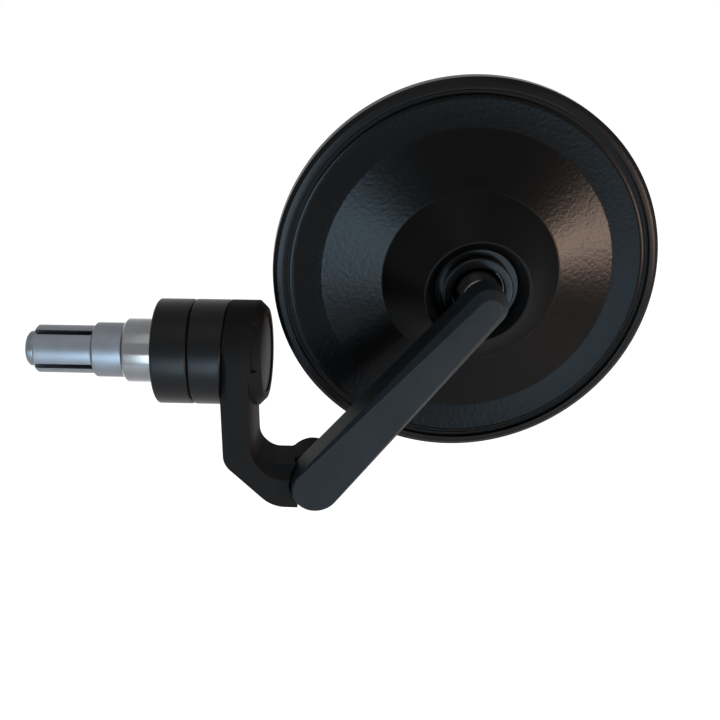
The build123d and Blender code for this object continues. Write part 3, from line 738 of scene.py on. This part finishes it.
class Repeater(Graph):
    """Builds one Geometry Nodes tree and applies it to pieces with their own values."""

    def __init__(self, name: str, inputs: Sequence[tuple[str, str]]) -> None:
        """Makes an empty tree with a geometry input and output and the named inputs.

        Args:
            name: the tree's name.
            inputs: name and socket type of each further input.
        """
        super().__init__(bpy.data.node_groups.new(name, "GeometryNodeTree"))
        face = self.tree.interface
        face.new_socket("Geometry", in_out="INPUT", socket_type="NodeSocketGeometry")
        for label, kind in inputs:
            face.new_socket(label, in_out="INPUT", socket_type=kind)
        face.new_socket("Geometry", in_out="OUTPUT", socket_type="NodeSocketGeometry")
        self.source = self.node("NodeGroupInput")
        self.target = self.node("NodeGroupOutput")

    def finish(self, geometry: Socket) -> None:
        """Moves the result to its frame, gives it its finish and ends the tree."""
        ask = self.source.outputs
        values = {"Geometry": geometry, "Translation": ask["Origin"], "Rotation": ask["Turn"]}
        moved = self.node("GeometryNodeTransform", values)
        real = self.node("GeometryNodeRealizeInstances", {"Geometry": moved.outputs[0]})
        values = {"Geometry": real.outputs[0], "Material": ask["Finish"]}
        painted = self.node("GeometryNodeSetMaterial", values)
        self.feed(self.target.inputs[0], painted.outputs[0])

    def apply(self, obj: Object, frame: Frame, finish: Material, values: dict) -> Object:
        """Runs the tree on an object and keeps the result as its mesh.

        Args:
            obj: the object, in the frame's own axes.
            frame: where the result goes.
            finish: its material.
            values: the tree's other inputs by name.

        Returns:
            The same object.
        """
        place = frame.matrix()
        spot = {"Origin": place.translation[:], "Turn": place.to_euler()[:], "Finish": finish}
        given = {**values, **spot}
        modifier = obj.modifiers.new(self.tree.name, "NODES")
        modifier.node_group = self.tree
        for item in self.tree.interface.items_tree:
            if item.item_type == "SOCKET" and item.in_out == "INPUT" and item.name in given:
                modifier[item.identifier] = given[item.name]
        return settled(obj)


FRAME_INPUTS = (
    ("Origin", "NodeSocketVector"),
    ("Turn", "NodeSocketVector"),
    ("Finish", "NodeSocketMaterial"),
)


def round_the_axis() -> Repeater:
    """Tree that repeats a piece evenly round its axis."""
    inputs = (("Count", "NodeSocketInt"), ("Start", "NodeSocketFloat"), *FRAME_INPUTS)
    tree = Repeater("round_the_axis", inputs)
    ask = tree.source.outputs
    values = {"Count": ask["Count"], "Offset": (0.0, 0.0, 0.0)}
    points = tree.node("GeometryNodeMeshLine", values, mode="OFFSET")
    index = tree.node("GeometryNodeInputIndex")
    values = {0: index.outputs[0], 1: ask["Count"]}
    share = tree.node("ShaderNodeMath", values, operation="DIVIDE")
    values = {0: share.outputs[0], 1: math.tau, 2: ask["Start"]}
    turn = tree.node("ShaderNodeMath", values, operation="MULTIPLY_ADD")
    spin = tree.node("ShaderNodeCombineXYZ", {2: turn.outputs[0]})
    values = {"Points": points.outputs[0], "Instance": ask[0], "Rotation": spin.outputs[0]}
    copies = tree.node("GeometryNodeInstanceOnPoints", values)
    tree.finish(copies.outputs[0])
    return tree


def screw_thread() -> Repeater:
    """Tree that winds a ridge round its axis."""
    inputs = (
        ("Turns", "NodeSocketFloat"),
        ("Radius", "NodeSocketFloat"),
        ("Length", "NodeSocketFloat"),
        ("Ridge", "NodeSocketFloat"),
        *FRAME_INPUTS,
    )
    tree = Repeater("screw_thread", inputs)
    ask = tree.source.outputs
    values = {
        "Resolution": THREAD_STEPS,
        "Rotations": ask["Turns"],
        "Start Radius": ask["Radius"],
        "End Radius": ask["Radius"],
        "Height": ask["Length"],
    }
    path = tree.node("GeometryNodeCurveSpiral", values)
    values = {"Resolution": RIDGE_STEPS, "Radius": ask["Ridge"]}
    wire = tree.node("GeometryNodeCurvePrimitiveCircle", values)
    values = {"Curve": path.outputs[0], "Profile Curve": wire.outputs[0], "Fill Caps": True}
    ridge = tree.node("GeometryNodeCurveToMesh", values)
    both = tree.node("GeometryNodeJoinGeometry")
    for part in (ridge.outputs[0], ask[0]):
        tree.feed(both.inputs[0], part)
    tree.finish(both.outputs[0])
    return tree


# ---- sub-assemblies


@dataclass
class SubAssembly:
    """A body's worth of pieces."""

    nodes: dict[str, Object]
    workshop: Workshop
    body: str = ""

    def add(self, obj: Object, finish: str, node: str, body: str = "") -> None:
        """Paints a piece, puts it on its body and hides the CAD node that it stands for."""
        self.workshop.paint(obj, finish)
        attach(obj, body or self.body)
        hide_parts(node)
        LOG.info("%s: %d faces on %s", obj.name, len(obj.data.polygons), body or self.body)

    def turn(
        self,
        name: str,
        frame: Frame,
        corners: Sequence[Corner],
        finish: str,
        node: str,
        body: str = "",
    ) -> None:
        """Adds one turned piece in place of its CAD node."""
        self.add(turned(name, frame, corners), finish, node, body=body)

    def keep(self, node: str, finish: str) -> None:
        """Shows a CAD node as it is, in its finish."""
        self.workshop.paint(self.nodes[node], finish)
        LOG.info("%s: CAD solid in %s", node, finish)


@dataclass
class BarClamp(SubAssembly):
    """Collet with its jaws, cone and bolt, the polished ring and the barrel rings."""

    # jaws and sleeve of the collet, from the free end toward the barrel
    body: str = "bar_clamp"
    bore: float = 2.8
    jaws: int = 4
    jaw_steps: int = 28
    jaw_end: float = -30.1
    jaw_radius: float = 5.8
    jaw_bore: float = 3.8
    jaw_mouth: float = 4.56
    taper_root: float = -23.4
    bore_root: float = -21.0
    slot_root: float = -15.6
    slot_half: float = 0.75
    slot_turn: float = 27.0
    sleeve: float = 6.6
    sleeve_end: float = -8.3
    shank: float = 6.0
    shank_end: float = 6.0
    # bolt, its thread and head, and the cone
    bolt_start: float = -31.0
    bolt_radius: float = 2.5
    bolt_seat: float = 21.9
    bolt_tip: float = -0.6
    thread_core: float = 2.3
    thread_end: float = 22.0
    thread_turns: float = 27.0
    thread_radius: float = 2.36
    thread_length: float = 21.6
    thread_ridge: float = 0.14
    head_radius: float = 4.25
    head_height: float = 2.8
    hexagon: float = 1.5
    hexagon_floor: float = 1.1
    cone_end: float = -32.3
    cone_radius: float = 4.26
    cone_root: float = 3.5
    cone_bore: float = 2.55
    # polished ring and the two rings of the barrel
    pilot: float = 7.7
    recess: float = 7.5
    recess_depth: float = 1.0
    barrel: float = 12.65
    edge: float = 0.4
    soft: float = 0.35
    joint: float = 8.7
    gap: float = 0.1
    spigot: float = 6.5
    spigot_bore: float = 6.55
    spigot_end: float = 13.6
    head_joint: float = 16.65
    head_lean: float = -3.7
    pin_end: float = 20.9

    def collet(self) -> Object:
        """The slotted collet: four jaws repeated round a plain sleeve."""
        profile = rounded(
            outline(
                (self.jaw_end, self.jaw_mouth, 0.1), (self.taper_root, self.jaw_bore, 0.5),
                (self.bore_root, self.jaw_bore), (self.bore_root, self.bore),
                (self.slot_root, self.bore), (self.slot_root, self.jaw_radius + 0.4),
                (self.slot_root - 0.2, self.jaw_radius + 0.2, 0.1),
                (self.slot_root - 0.2, self.jaw_radius), (self.jaw_end + 0.4, self.jaw_radius, 0.3),
                (self.jaw_end, self.jaw_radius - 0.4, 0.2),
            )
        )
        mesh = bmesh.new()
        steps = self.jaw_steps
        span = math.tau / self.jaws
        rows = []
        for corner in profile:
            start = math.asin(self.slot_half / corner.radius)
            turns = (start + (span - 2.0 * start) * step / steps for step in range(steps + 1))
            rows.append([mesh.verts.new(around(corner, turn)) for turn in turns])
        for index, row in enumerate(rows):
            other = rows[(index + 1) % len(rows)]
            for step in range(steps):
                mesh.faces.new((row[step], other[step], other[step + 1], row[step + 1]))
        for end in (0, steps):
            mesh.faces.new([row[end] for row in rows])
        jaws = new_object("collet_jaws", mesh)
        finish = self.workshop.materials["collet_satin"]
        values = {"Count": self.jaws, "Start": math.radians(self.slot_turn)}
        round_the_axis().apply(jaws, BAR, finish, values)
        sleeve = bmesh.new()
        corners = outline(
            (self.slot_root, self.bore), (self.slot_root, self.sleeve - 0.4),
            (self.slot_root + 0.4, self.sleeve, 0.3), (self.sleeve_end, self.sleeve),
            (self.sleeve_end, self.shank), (self.shank_end, self.shank),
            (self.shank_end, self.bore),
        )
        sleeve.from_mesh(jaws.data)
        lathe(sleeve, BAR.matrix(), rounded(corners), TURN_STEPS)
        bpy.data.objects.remove(jaws)
        return new_object("slotted_collet", sleeve)

    def bolt(self) -> Object:
        """Socket head bolt with a wound thread; heights count from the start of the thread."""
        seat = self.bolt_seat - self.bolt_start
        top, floor = seat + self.head_height, seat + self.hexagon_floor
        corners = outline(
            (self.bolt_tip, 0.0), (self.bolt_tip, self.thread_core - 0.4, 0.1),
            (self.bolt_tip + 0.4, self.thread_core, 0.1), (self.thread_end, self.thread_core),
            (self.thread_end + 0.2, self.bolt_radius), (seat, self.bolt_radius),
            (seat, self.head_radius), (top - 0.4, self.head_radius, 0.2),
            (top, self.head_radius - 0.4, 0.1), (top, self.hexagon, 0.0, 6),
            (floor, self.hexagon, 0.0, 6), (floor, 0.0),
        )
        mesh = bmesh.new()
        lathe(mesh, Matrix.Identity(4), rounded(corners), 2 * SCREW_STEPS)
        obj = new_object("threaded_bolt", mesh)
        start = Frame(BAR.along * self.bolt_start, BAR.along, BAR.across)
        values = {
            "Turns": self.thread_turns,
            "Radius": self.thread_radius * MM,
            "Length": self.thread_length * MM,
            "Ridge": self.thread_ridge * MM,
        }
        return screw_thread().apply(obj, start, self.workshop.materials["black_oxide"], values)

    def build(self) -> None:
        """Builds and dresses the clamp."""
        barrel, edge, soft, end = self.barrel, self.edge, self.soft, self.head_joint
        lean = self.head_lean
        self.add(self.collet(), "collet_satin", "expansion_collet")
        self.add(self.bolt(), "black_oxide", "clamp_bolt", body="bolt")
        cone = outline(
            (self.cone_end, self.cone_bore, 0.15), (self.cone_end, self.cone_radius - 0.6, 0.15),
            (self.cone_end + 0.6, self.cone_radius, 0.3),
            (self.cone_end + 1.7, self.cone_radius, 0.2),
            (self.taper_root, self.cone_root, 0.15), (self.taper_root, self.cone_bore),
        )
        self.turn("wedge_cone", BAR, cone, "cone_satin", "expander_cone", body="cone")
        ring = outline(
            (self.sleeve_end, self.shank), (self.sleeve_end, self.pilot - 0.8, 0.25),
            (self.sleeve_end + 0.8, self.pilot, 0.4), (0.0, self.pilot), (0.0, self.recess),
            (self.recess_depth, self.recess), (self.recess_depth, self.shank),
        )
        self.turn("bright_ring", BAR, ring, "ring_polished", "spacer_bush")
        inner = outline(
            (self.recess_depth, self.shank), (self.recess_depth, self.recess),
            (0.4, self.recess, 0.1),
            (0.0, self.recess + 0.4, 0.1), (0.0, barrel - edge, soft), (edge, barrel, soft),
            (self.joint - edge, barrel, soft), (self.joint, barrel - edge, soft),
            (self.joint, self.spigot), (self.spigot_end - 0.4, self.spigot),
            (self.spigot_end, self.spigot - 0.4), (self.spigot_end, self.bore),
            (self.shank_end, self.bore), (self.shank_end, self.shank),
        )
        self.turn("inner_ring", BAR, inner, "barrel_black", "inner_barrel_ring")
        start = self.joint + self.gap
        outer = outline(
            (start, self.spigot_bore), (start, barrel - edge, soft), (start + edge, barrel, soft),
            (end - edge, barrel, soft, 0, lean), (end, barrel - edge, soft, 0, lean),
            (end, self.spigot, 0.0, 0, lean), (self.pin_end, self.spigot),
            (self.pin_end, self.bore),
            (self.spigot_end + self.gap, self.bore), (self.spigot_end + self.gap, self.spigot_bore),
        )
        self.turn("outer_ring", BAR, outer, "barrel_black", "outer_barrel_ring", body="lower_arm")


@dataclass
class LowerArm(SubAssembly):
    """Cranked arm with its head, cap and pivot lug."""

    body: str = "lower_arm"
    soft: float = 0.4
    cap_radius: float = 9.4
    cap_start: float = 24.95
    cap_end: float = 25.65
    plug: float = 7.8
    plug_bore: float = 6.6
    plug_end: float = 23.35

    def build(self) -> None:
        """Builds and dresses the arm."""
        arm = softened(self.nodes["lower_arm"], "cranked_arm", self.soft)
        self.add(arm, "crank_black", "lower_arm")
        cap = outline(
            (self.cap_start, 0.0), (self.cap_end, 0.0), (self.cap_end, self.cap_radius, 0.2),
            (self.cap_start, self.cap_radius), (self.cap_start, self.plug),
            (self.plug_end, self.plug),
            (self.plug_end, self.plug_bore), (self.cap_start, self.plug_bore),
        )
        self.turn("head_cap", BAR, cap, "cap_black", "end_cap")
        self.keep("clamp_washer", "plain_steel")
        self.keep("pivot_bush", "bush_bronze")
        self.keep("friction_washer", "cup_acetal")


@dataclass
class UpperArm(SubAssembly):
    """Long bevelled arm with its pivot screw and ball stud."""

    body: str = "upper_arm"
    soft: float = 0.3
    screw_radius: float = 2.5
    screw_end: float = -2.4
    screw_seat: float = -17.0
    screw_head: float = 4.2
    screw_top: float = -19.6
    hexagon: float = 1.5
    hexagon_depth: float = 1.7
    ball: float = 6.4
    ball_steps: int = 28
    neck: float = 3.3
    collar: float = 4.3
    collar_start: float = 6.6
    collar_end: float = 7.4
    shank: float = 2.5
    shank_end: float = 12.9

    def build(self) -> None:
        """Builds and dresses the arm."""
        arm = softened(self.nodes["upper_arm"], "long_arm", self.soft)
        self.add(arm, "arm_black", "upper_arm")
        screw = outline(
            (self.screw_end, 0.0), (self.screw_end, self.screw_radius),
            (self.screw_seat, self.screw_radius), (self.screw_seat, self.screw_head),
            (self.screw_top + 0.4, self.screw_head, 0.2),
            (self.screw_top, self.screw_head - 0.4, 0.15),
            (self.screw_top, self.hexagon, 0.0, 6),
            (self.screw_top + self.hexagon_depth, self.hexagon, 0.0, 6),
            (self.screw_top + self.hexagon_depth, 0.0),
        )
        self.turn("hinge_screw", ARM, screw, "black_oxide", "pivot_screw")
        self.keep("wave_washer", "plain_steel")
        self.keep("pivot_washer", "plain_steel")
        foot = math.asin(self.neck / self.ball)
        steps = self.ball_steps
        turns = (math.pi - (math.pi - foot) * step / steps for step in range(1, steps + 1))
        sphere = [Corner(self.ball * math.cos(turn), self.ball * math.sin(turn)) for turn in turns]
        stud = outline(
            (-self.ball, 0.0),
            *sphere,
            (self.collar_start, self.neck), (self.collar_start, self.collar, 0.15),
            (self.collar_end, self.collar, 0.1), (self.collar_end, self.shank),
            (self.shank_end, self.shank), (self.shank_end, 0.0),
        )
        # the ball's finish has painted shade in its socket gap and on its neck
        self.turn("ball_joint", MIRROR, stud, "ball_painted_shade", "ball_stud")


@dataclass
class MirrorHead(SubAssembly):
    """Socket, shell, rim and glass."""

    body: str = "mirror"
    # shell: radii, and heights from the centre of the ball toward the arm
    shell_back: float = -12.2
    shell_radius: float = 43.8
    annulus: tuple[float, float] = (36.0, 43.1)
    cone_top: tuple[float, float] = (-7.0, 21.7)
    lip: tuple[float, float] = (12.3, 12.8)
    lip_height: float = 3.0
    hub: tuple[float, float] = (-1.6, 10.15)
    pocket: float = 12.4
    wall: float = 1.6
    inner_foot: tuple[float, float] = (-11.3, 35.1)
    inner_lip: tuple[float, float] = (-11.7, 40.6)
    # rim, its seal and the glass
    rim_inner: float = 45.4
    rim_outer: float = 47.8
    rim_hook: float = 43.9
    rim_back: float = -10.5
    rim_front: float = -15.0
    bead: float = 0.25
    bead_steps: int = 8
    glass: float = 45.1
    glass_round: float = 1200.0
    glass_faces: tuple[float, float] = (-14.2, -12.2)
    glass_steps: int = 30
    # socket
    ring_radius: float = 8.5
    ring_bore: float = 7.45
    ring_mouth: float = 6.25
    ring_back: float = -3.0
    screws: int = 3
    screw_circle: float = 13.6
    screw_dimple: float = 1.4
    screw_head: float = 2.2
    screw_seat: float = -11.4
    screw_radius: float = 1.25
    screw_end: float = -5.6

    def drop(self, radius: float) -> float:
        """How far the domed glass stands out from its edge at a radius."""
        edge = math.sqrt(self.glass_round**2 - self.glass**2)
        return math.sqrt(self.glass_round**2 - radius**2) - edge

    def shell(self) -> None:
        """The dished back with its annulus, cone, lip and hub."""
        corners = outline(
            (self.shell_back, self.inner_lip[1]), (self.shell_back, self.shell_radius),
            (self.rim_back, self.shell_radius, 0.1), (self.rim_back + 0.1, self.annulus[1], 0.12),
            (self.rim_back - 0.1, self.annulus[1], 0.12),
            (self.rim_back + 0.05, self.annulus[0], 2.6),
            (*self.cone_top, 0.7), (self.lip_height, self.lip[1], 0.3),
            (self.lip_height, self.lip[0], 0.2), (self.lip_height - self.wall, self.hub[1], 0.2),
            self.hub, (self.hub[0], self.pocket),
            (self.cone_top[0] - 1.9, self.cone_top[1] - self.wall), self.inner_foot, self.inner_lip,
        )
        self.turn("dished_shell", MIRROR, corners, "shell_black", "back_shell")

    def rim(self) -> None:
        """The rolled rim that holds the glass, and its seal."""
        corners = outline(
            (self.rim_back, self.rim_inner, 0.1), (self.rim_back - 0.2, self.rim_outer - 1.0, 0.1),
            (self.rim_back - 0.85, self.rim_outer, 0.25),
            (self.rim_front + 0.9, self.rim_outer, 0.35),
            (self.rim_front, self.rim_outer - 0.9, 0.35), (self.rim_front, self.rim_hook, 0.2),
            (self.rim_front + 0.6, self.rim_hook, 0.1), (self.rim_front + 0.6, self.rim_inner),
        )
        self.turn("rolled_rim", MIRROR, corners, "rim_black", "rim_bezel")
        top = self.shell_back + 0.6
        middle = (self.shell_radius + self.rim_inner) / 2.0
        turns = (math.pi * step / self.bead_steps for step in range(self.bead_steps + 1))
        bead = ((top + self.bead * math.sin(t), middle + self.bead * math.cos(t)) for t in turns)
        seal = outline(
            (self.shell_back, self.shell_radius), (self.shell_back, self.rim_inner),
            (top, self.rim_inner),
            *bead,
            (top, self.shell_radius),
        )
        self.turn("rubber_seal", MIRROR, seal, "seal_rubber", "rim_seal")

    def mirror(self) -> None:
        """The domed glass."""
        front, back = self.glass_faces
        radii = [self.glass * step / self.glass_steps for step in range(self.glass_steps)]
        corners = (
            *(Corner(front - self.drop(radius), radius) for radius in radii),
            Corner(front, self.glass, 0.15),
            Corner(back, self.glass, 0.15),
            *(Corner(back - self.drop(radius), radius) for radius in reversed(radii)),
        )
        self.turn("domed_glass", MIRROR, corners, "mirror_silver", "mirror_glass")

    def socket(self) -> None:
        """The threaded ring that closes the ball socket."""
        corners = outline(
            (self.ring_back, self.ring_bore), (self.ring_back, self.ring_radius),
            (self.lip_height - 0.3, self.ring_radius, 0.15),
            (self.lip_height, self.ring_radius - 0.3, 0.15),
            (self.lip_height, self.ring_mouth + 0.3, 0.15),
            (self.lip_height - 0.3, self.ring_mouth, 0.15),
            (self.lip_height - 0.8, self.ring_mouth),
            (self.lip_height - 0.8, self.ring_bore),
        )
        self.turn("socket_ring", MIRROR, corners, "ring_black", "retaining_ring")

    def fixings(self) -> Object:
        """The three screws that hold the socket to the shell."""
        corners = outline(
            (self.shell_back, 0.0), (self.shell_back, self.screw_dimple, 0.3),
            (self.screw_seat - 0.5, self.screw_head, 0.2), (self.screw_seat, self.screw_head),
            (self.screw_seat, self.screw_radius), (self.screw_end, self.screw_radius),
            (self.screw_end, 0.0),
        )
        mesh = bmesh.new()
        place = Matrix.Translation((self.screw_circle * MM, 0.0, 0.0))
        lathe(mesh, place, rounded(corners), SCREW_STEPS)
        obj = new_object("socket_screws", mesh)
        finish = self.workshop.materials["plain_steel"]
        return round_the_axis().apply(obj, MIRROR, finish, {"Count": self.screws, "Start": 0.0})

    def build(self) -> None:
        """Builds and dresses the head."""
        self.shell()
        self.rim()
        self.mirror()
        self.socket()
        self.add(self.fixings(), "plain_steel", "housing_screws")
        for node, finish in (
            ("socket_cup_rear", "cup_acetal"),
            ("socket_cup_front", "cup_acetal"),
            ("socket_spring", "plain_steel"),
            ("socket_housing", "ring_black"),
            ("glass_backing", "pad_foam"),
        ):
            self.keep(node, finish)


# ---- studio


@dataclass(frozen=True)
class Lamp:
    """A soft box: its place and size in degrees as seen from the object, and the metres to it."""

    name: str
    bearing: float
    height: float
    distance: float
    wide: float
    tall: float
    light: float
    colour: Colour

    def power(self) -> float:
        """Watts that give the wanted irradiance at the object."""
        return self.light * 4.0 * self.distance**2

    def place(self, aim: Vector) -> Vector:
        """Where the lamp stands."""
        return aim + facing(self.bearing, self.height) * self.distance


@dataclass
class Studio:
    """Camera, lights, floor and surroundings of the photograph."""

    turn: float = 4.34
    height: float = 20.92
    roll: float = 0.46
    distance: float = 300.0
    target: tuple[float, float] = (160.79, 350.45)
    scale: float = 4.132
    picture: int = 720
    sensor: float = 36.0
    floor_drop: float = 0.5
    floor_side: float = 6.0
    floor_grey: Colour = (0.8, 0.8, 0.8)
    floor_glow: float = 0.97
    room: float = 0.15
    room_colour: Colour = (0.92, 0.97, 1.0)
    aim: tuple[float, float, float] = (0.06, 0.0, 0.0)
    lamps: tuple[Lamp, ...] = (
        Lamp("cool_front", -7.5, -14.0, 0.9, 14.0, 25.0, 2.15, (0.55, 0.79, 1.0)),
        Lamp("cool_strip", -17.5, -13.0, 0.9, 4.0, 30.0, 0.3, (0.8, 0.92, 1.0)),
        Lamp("warm_side", 56.0, -12.0, 0.9, 12.5, 12.5, 3.0, (1.0, 0.72, 0.58)),
        Lamp("cool_low", 31.0, -29.0, 0.85, 13.5, 24.0, 0.85, (0.52, 0.78, 1.0)),
        Lamp("top", -5.0, 62.0, 0.9, 36.0, 36.0, 0.3, WHITE),
    )

    def axes(self) -> tuple[Vector, Vector, Vector]:
        """The camera's right, up and backward directions."""
        roll = math.radians(self.roll)
        right, back = level_across(self.turn), facing(self.turn, self.height)
        up = back.cross(right)
        return (
            right * math.cos(roll) - up * math.sin(roll),
            right * math.sin(roll) + up * math.cos(roll),
            back,
        )

    def camera(self) -> None:
        """Places the camera that was fitted to the photograph."""
        right, up, back = self.axes()
        half = self.picture / 2.0
        shift_x = (half - self.target[0]) / self.scale
        shift_y = (self.target[1] - half) / self.scale
        eye = right * shift_x + up * shift_y + back * self.distance
        data = bpy.data.cameras.new("camera")
        data.sensor_width = self.sensor
        data.lens = self.scale * self.distance / self.picture * self.sensor
        data.clip_start = 0.01
        matrix = Matrix((right, up, back)).transposed().to_4x4()
        matrix.translation = eye * MM
        obj = linked("camera", data)
        obj.matrix_world = matrix
        bpy.context.scene.camera = obj

    def light(self, lamp: Lamp) -> None:
        """Adds one soft box."""
        data = bpy.data.lights.new(lamp.name, "AREA")
        data.shape = "RECTANGLE"
        data.size = 2.0 * lamp.distance * math.tan(math.radians(lamp.wide / 2.0))
        data.size_y = 2.0 * lamp.distance * math.tan(math.radians(lamp.tall / 2.0))
        data.energy = lamp.power()
        data.color = lamp.colour
        obj = linked(lamp.name, data)
        aim = Vector(self.aim)
        place = lamp.place(aim)
        look = (place - aim).to_track_quat("Z", "Y").to_matrix().to_4x4()
        obj.matrix_world = Matrix.Translation(place) @ look

    @staticmethod
    def seen(graph: Graph) -> Signal:
        """One for rays from the camera, or from metal and glass."""
        path = graph.node("ShaderNodeLightPath")
        kinds = ("Is Camera Ray", "Is Glossy Ray", "Is Transmission Ray")
        camera, glossy, through = (Signal(graph, path.outputs[kind]) for kind in kinds)
        return (camera + glossy + through).step(0.25, 0.75)

    def world(self) -> None:
        """White to the camera and in reflections, a dim cool room to the object."""
        world = bpy.data.worlds.new("studio")
        bpy.context.scene.world = world
        world.use_nodes = True
        graph = Graph(world.node_tree)
        white = graph.node("ShaderNodeBackground", {"Color": WHITE, "Strength": 1.0})
        values = {"Color": self.room_colour, "Strength": self.room}
        room = graph.node("ShaderNodeBackground", values)
        values = {0: self.seen(graph), 1: room.outputs[0], 2: white.outputs[0]}
        choice = graph.node("ShaderNodeMixShader", values)
        graph.node("ShaderNodeOutputWorld", {0: choice.outputs[0]})

    def floor(self) -> None:
        """A plain pale floor under the object, which keeps its shadow."""
        mesh = bmesh.new()
        bmesh.ops.create_grid(mesh, x_segments=1, y_segments=1, size=self.floor_side)
        bmesh.ops.translate(mesh, verts=mesh.verts, vec=(0.0, 0.0, -self.floor_drop))
        obj = new_object("floor", mesh)
        material = bpy.data.materials.new("floor_white")
        material.use_nodes = True
        graph = Graph(material.node_tree)
        matt = graph.node("ShaderNodeBsdfDiffuse", {"Color": self.floor_grey})
        glow = graph.node("ShaderNodeEmission", {"Color": WHITE, "Strength": self.floor_glow})
        both = graph.node("ShaderNodeAddShader", {0: matt.outputs[0], 1: glow.outputs[0]})
        values = {0: self.seen(graph), 1: matt.outputs[0], 2: both.outputs[0]}
        choice = graph.node("ShaderNodeMixShader", values)
        graph.node("ShaderNodeOutputMaterial", {0: choice.outputs[0]})
        obj.data.materials.append(material)

    def build(self) -> None:
        """Sets up the whole studio."""
        bpy.context.scene.view_settings.view_transform = "Standard"
        self.camera()
        self.world()
        self.floor()
        for lamp in self.lamps:
            self.light(lamp)


def main() -> None:
    """Builds the dressed object and its studio."""
    logging.basicConfig(level=logging.INFO, format="%(name)s %(message)s")
    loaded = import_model()
    workshop = Workshop()
    for part in (BarClamp, LowerArm, UpperArm, MirrorHead):
        part(loaded["nodes"], workshop).build()
        LOG.info("%s done", part.__name__)
    Studio().build()
    bpy.context.view_layer.update()


if __name__ == "__main__":
    main()
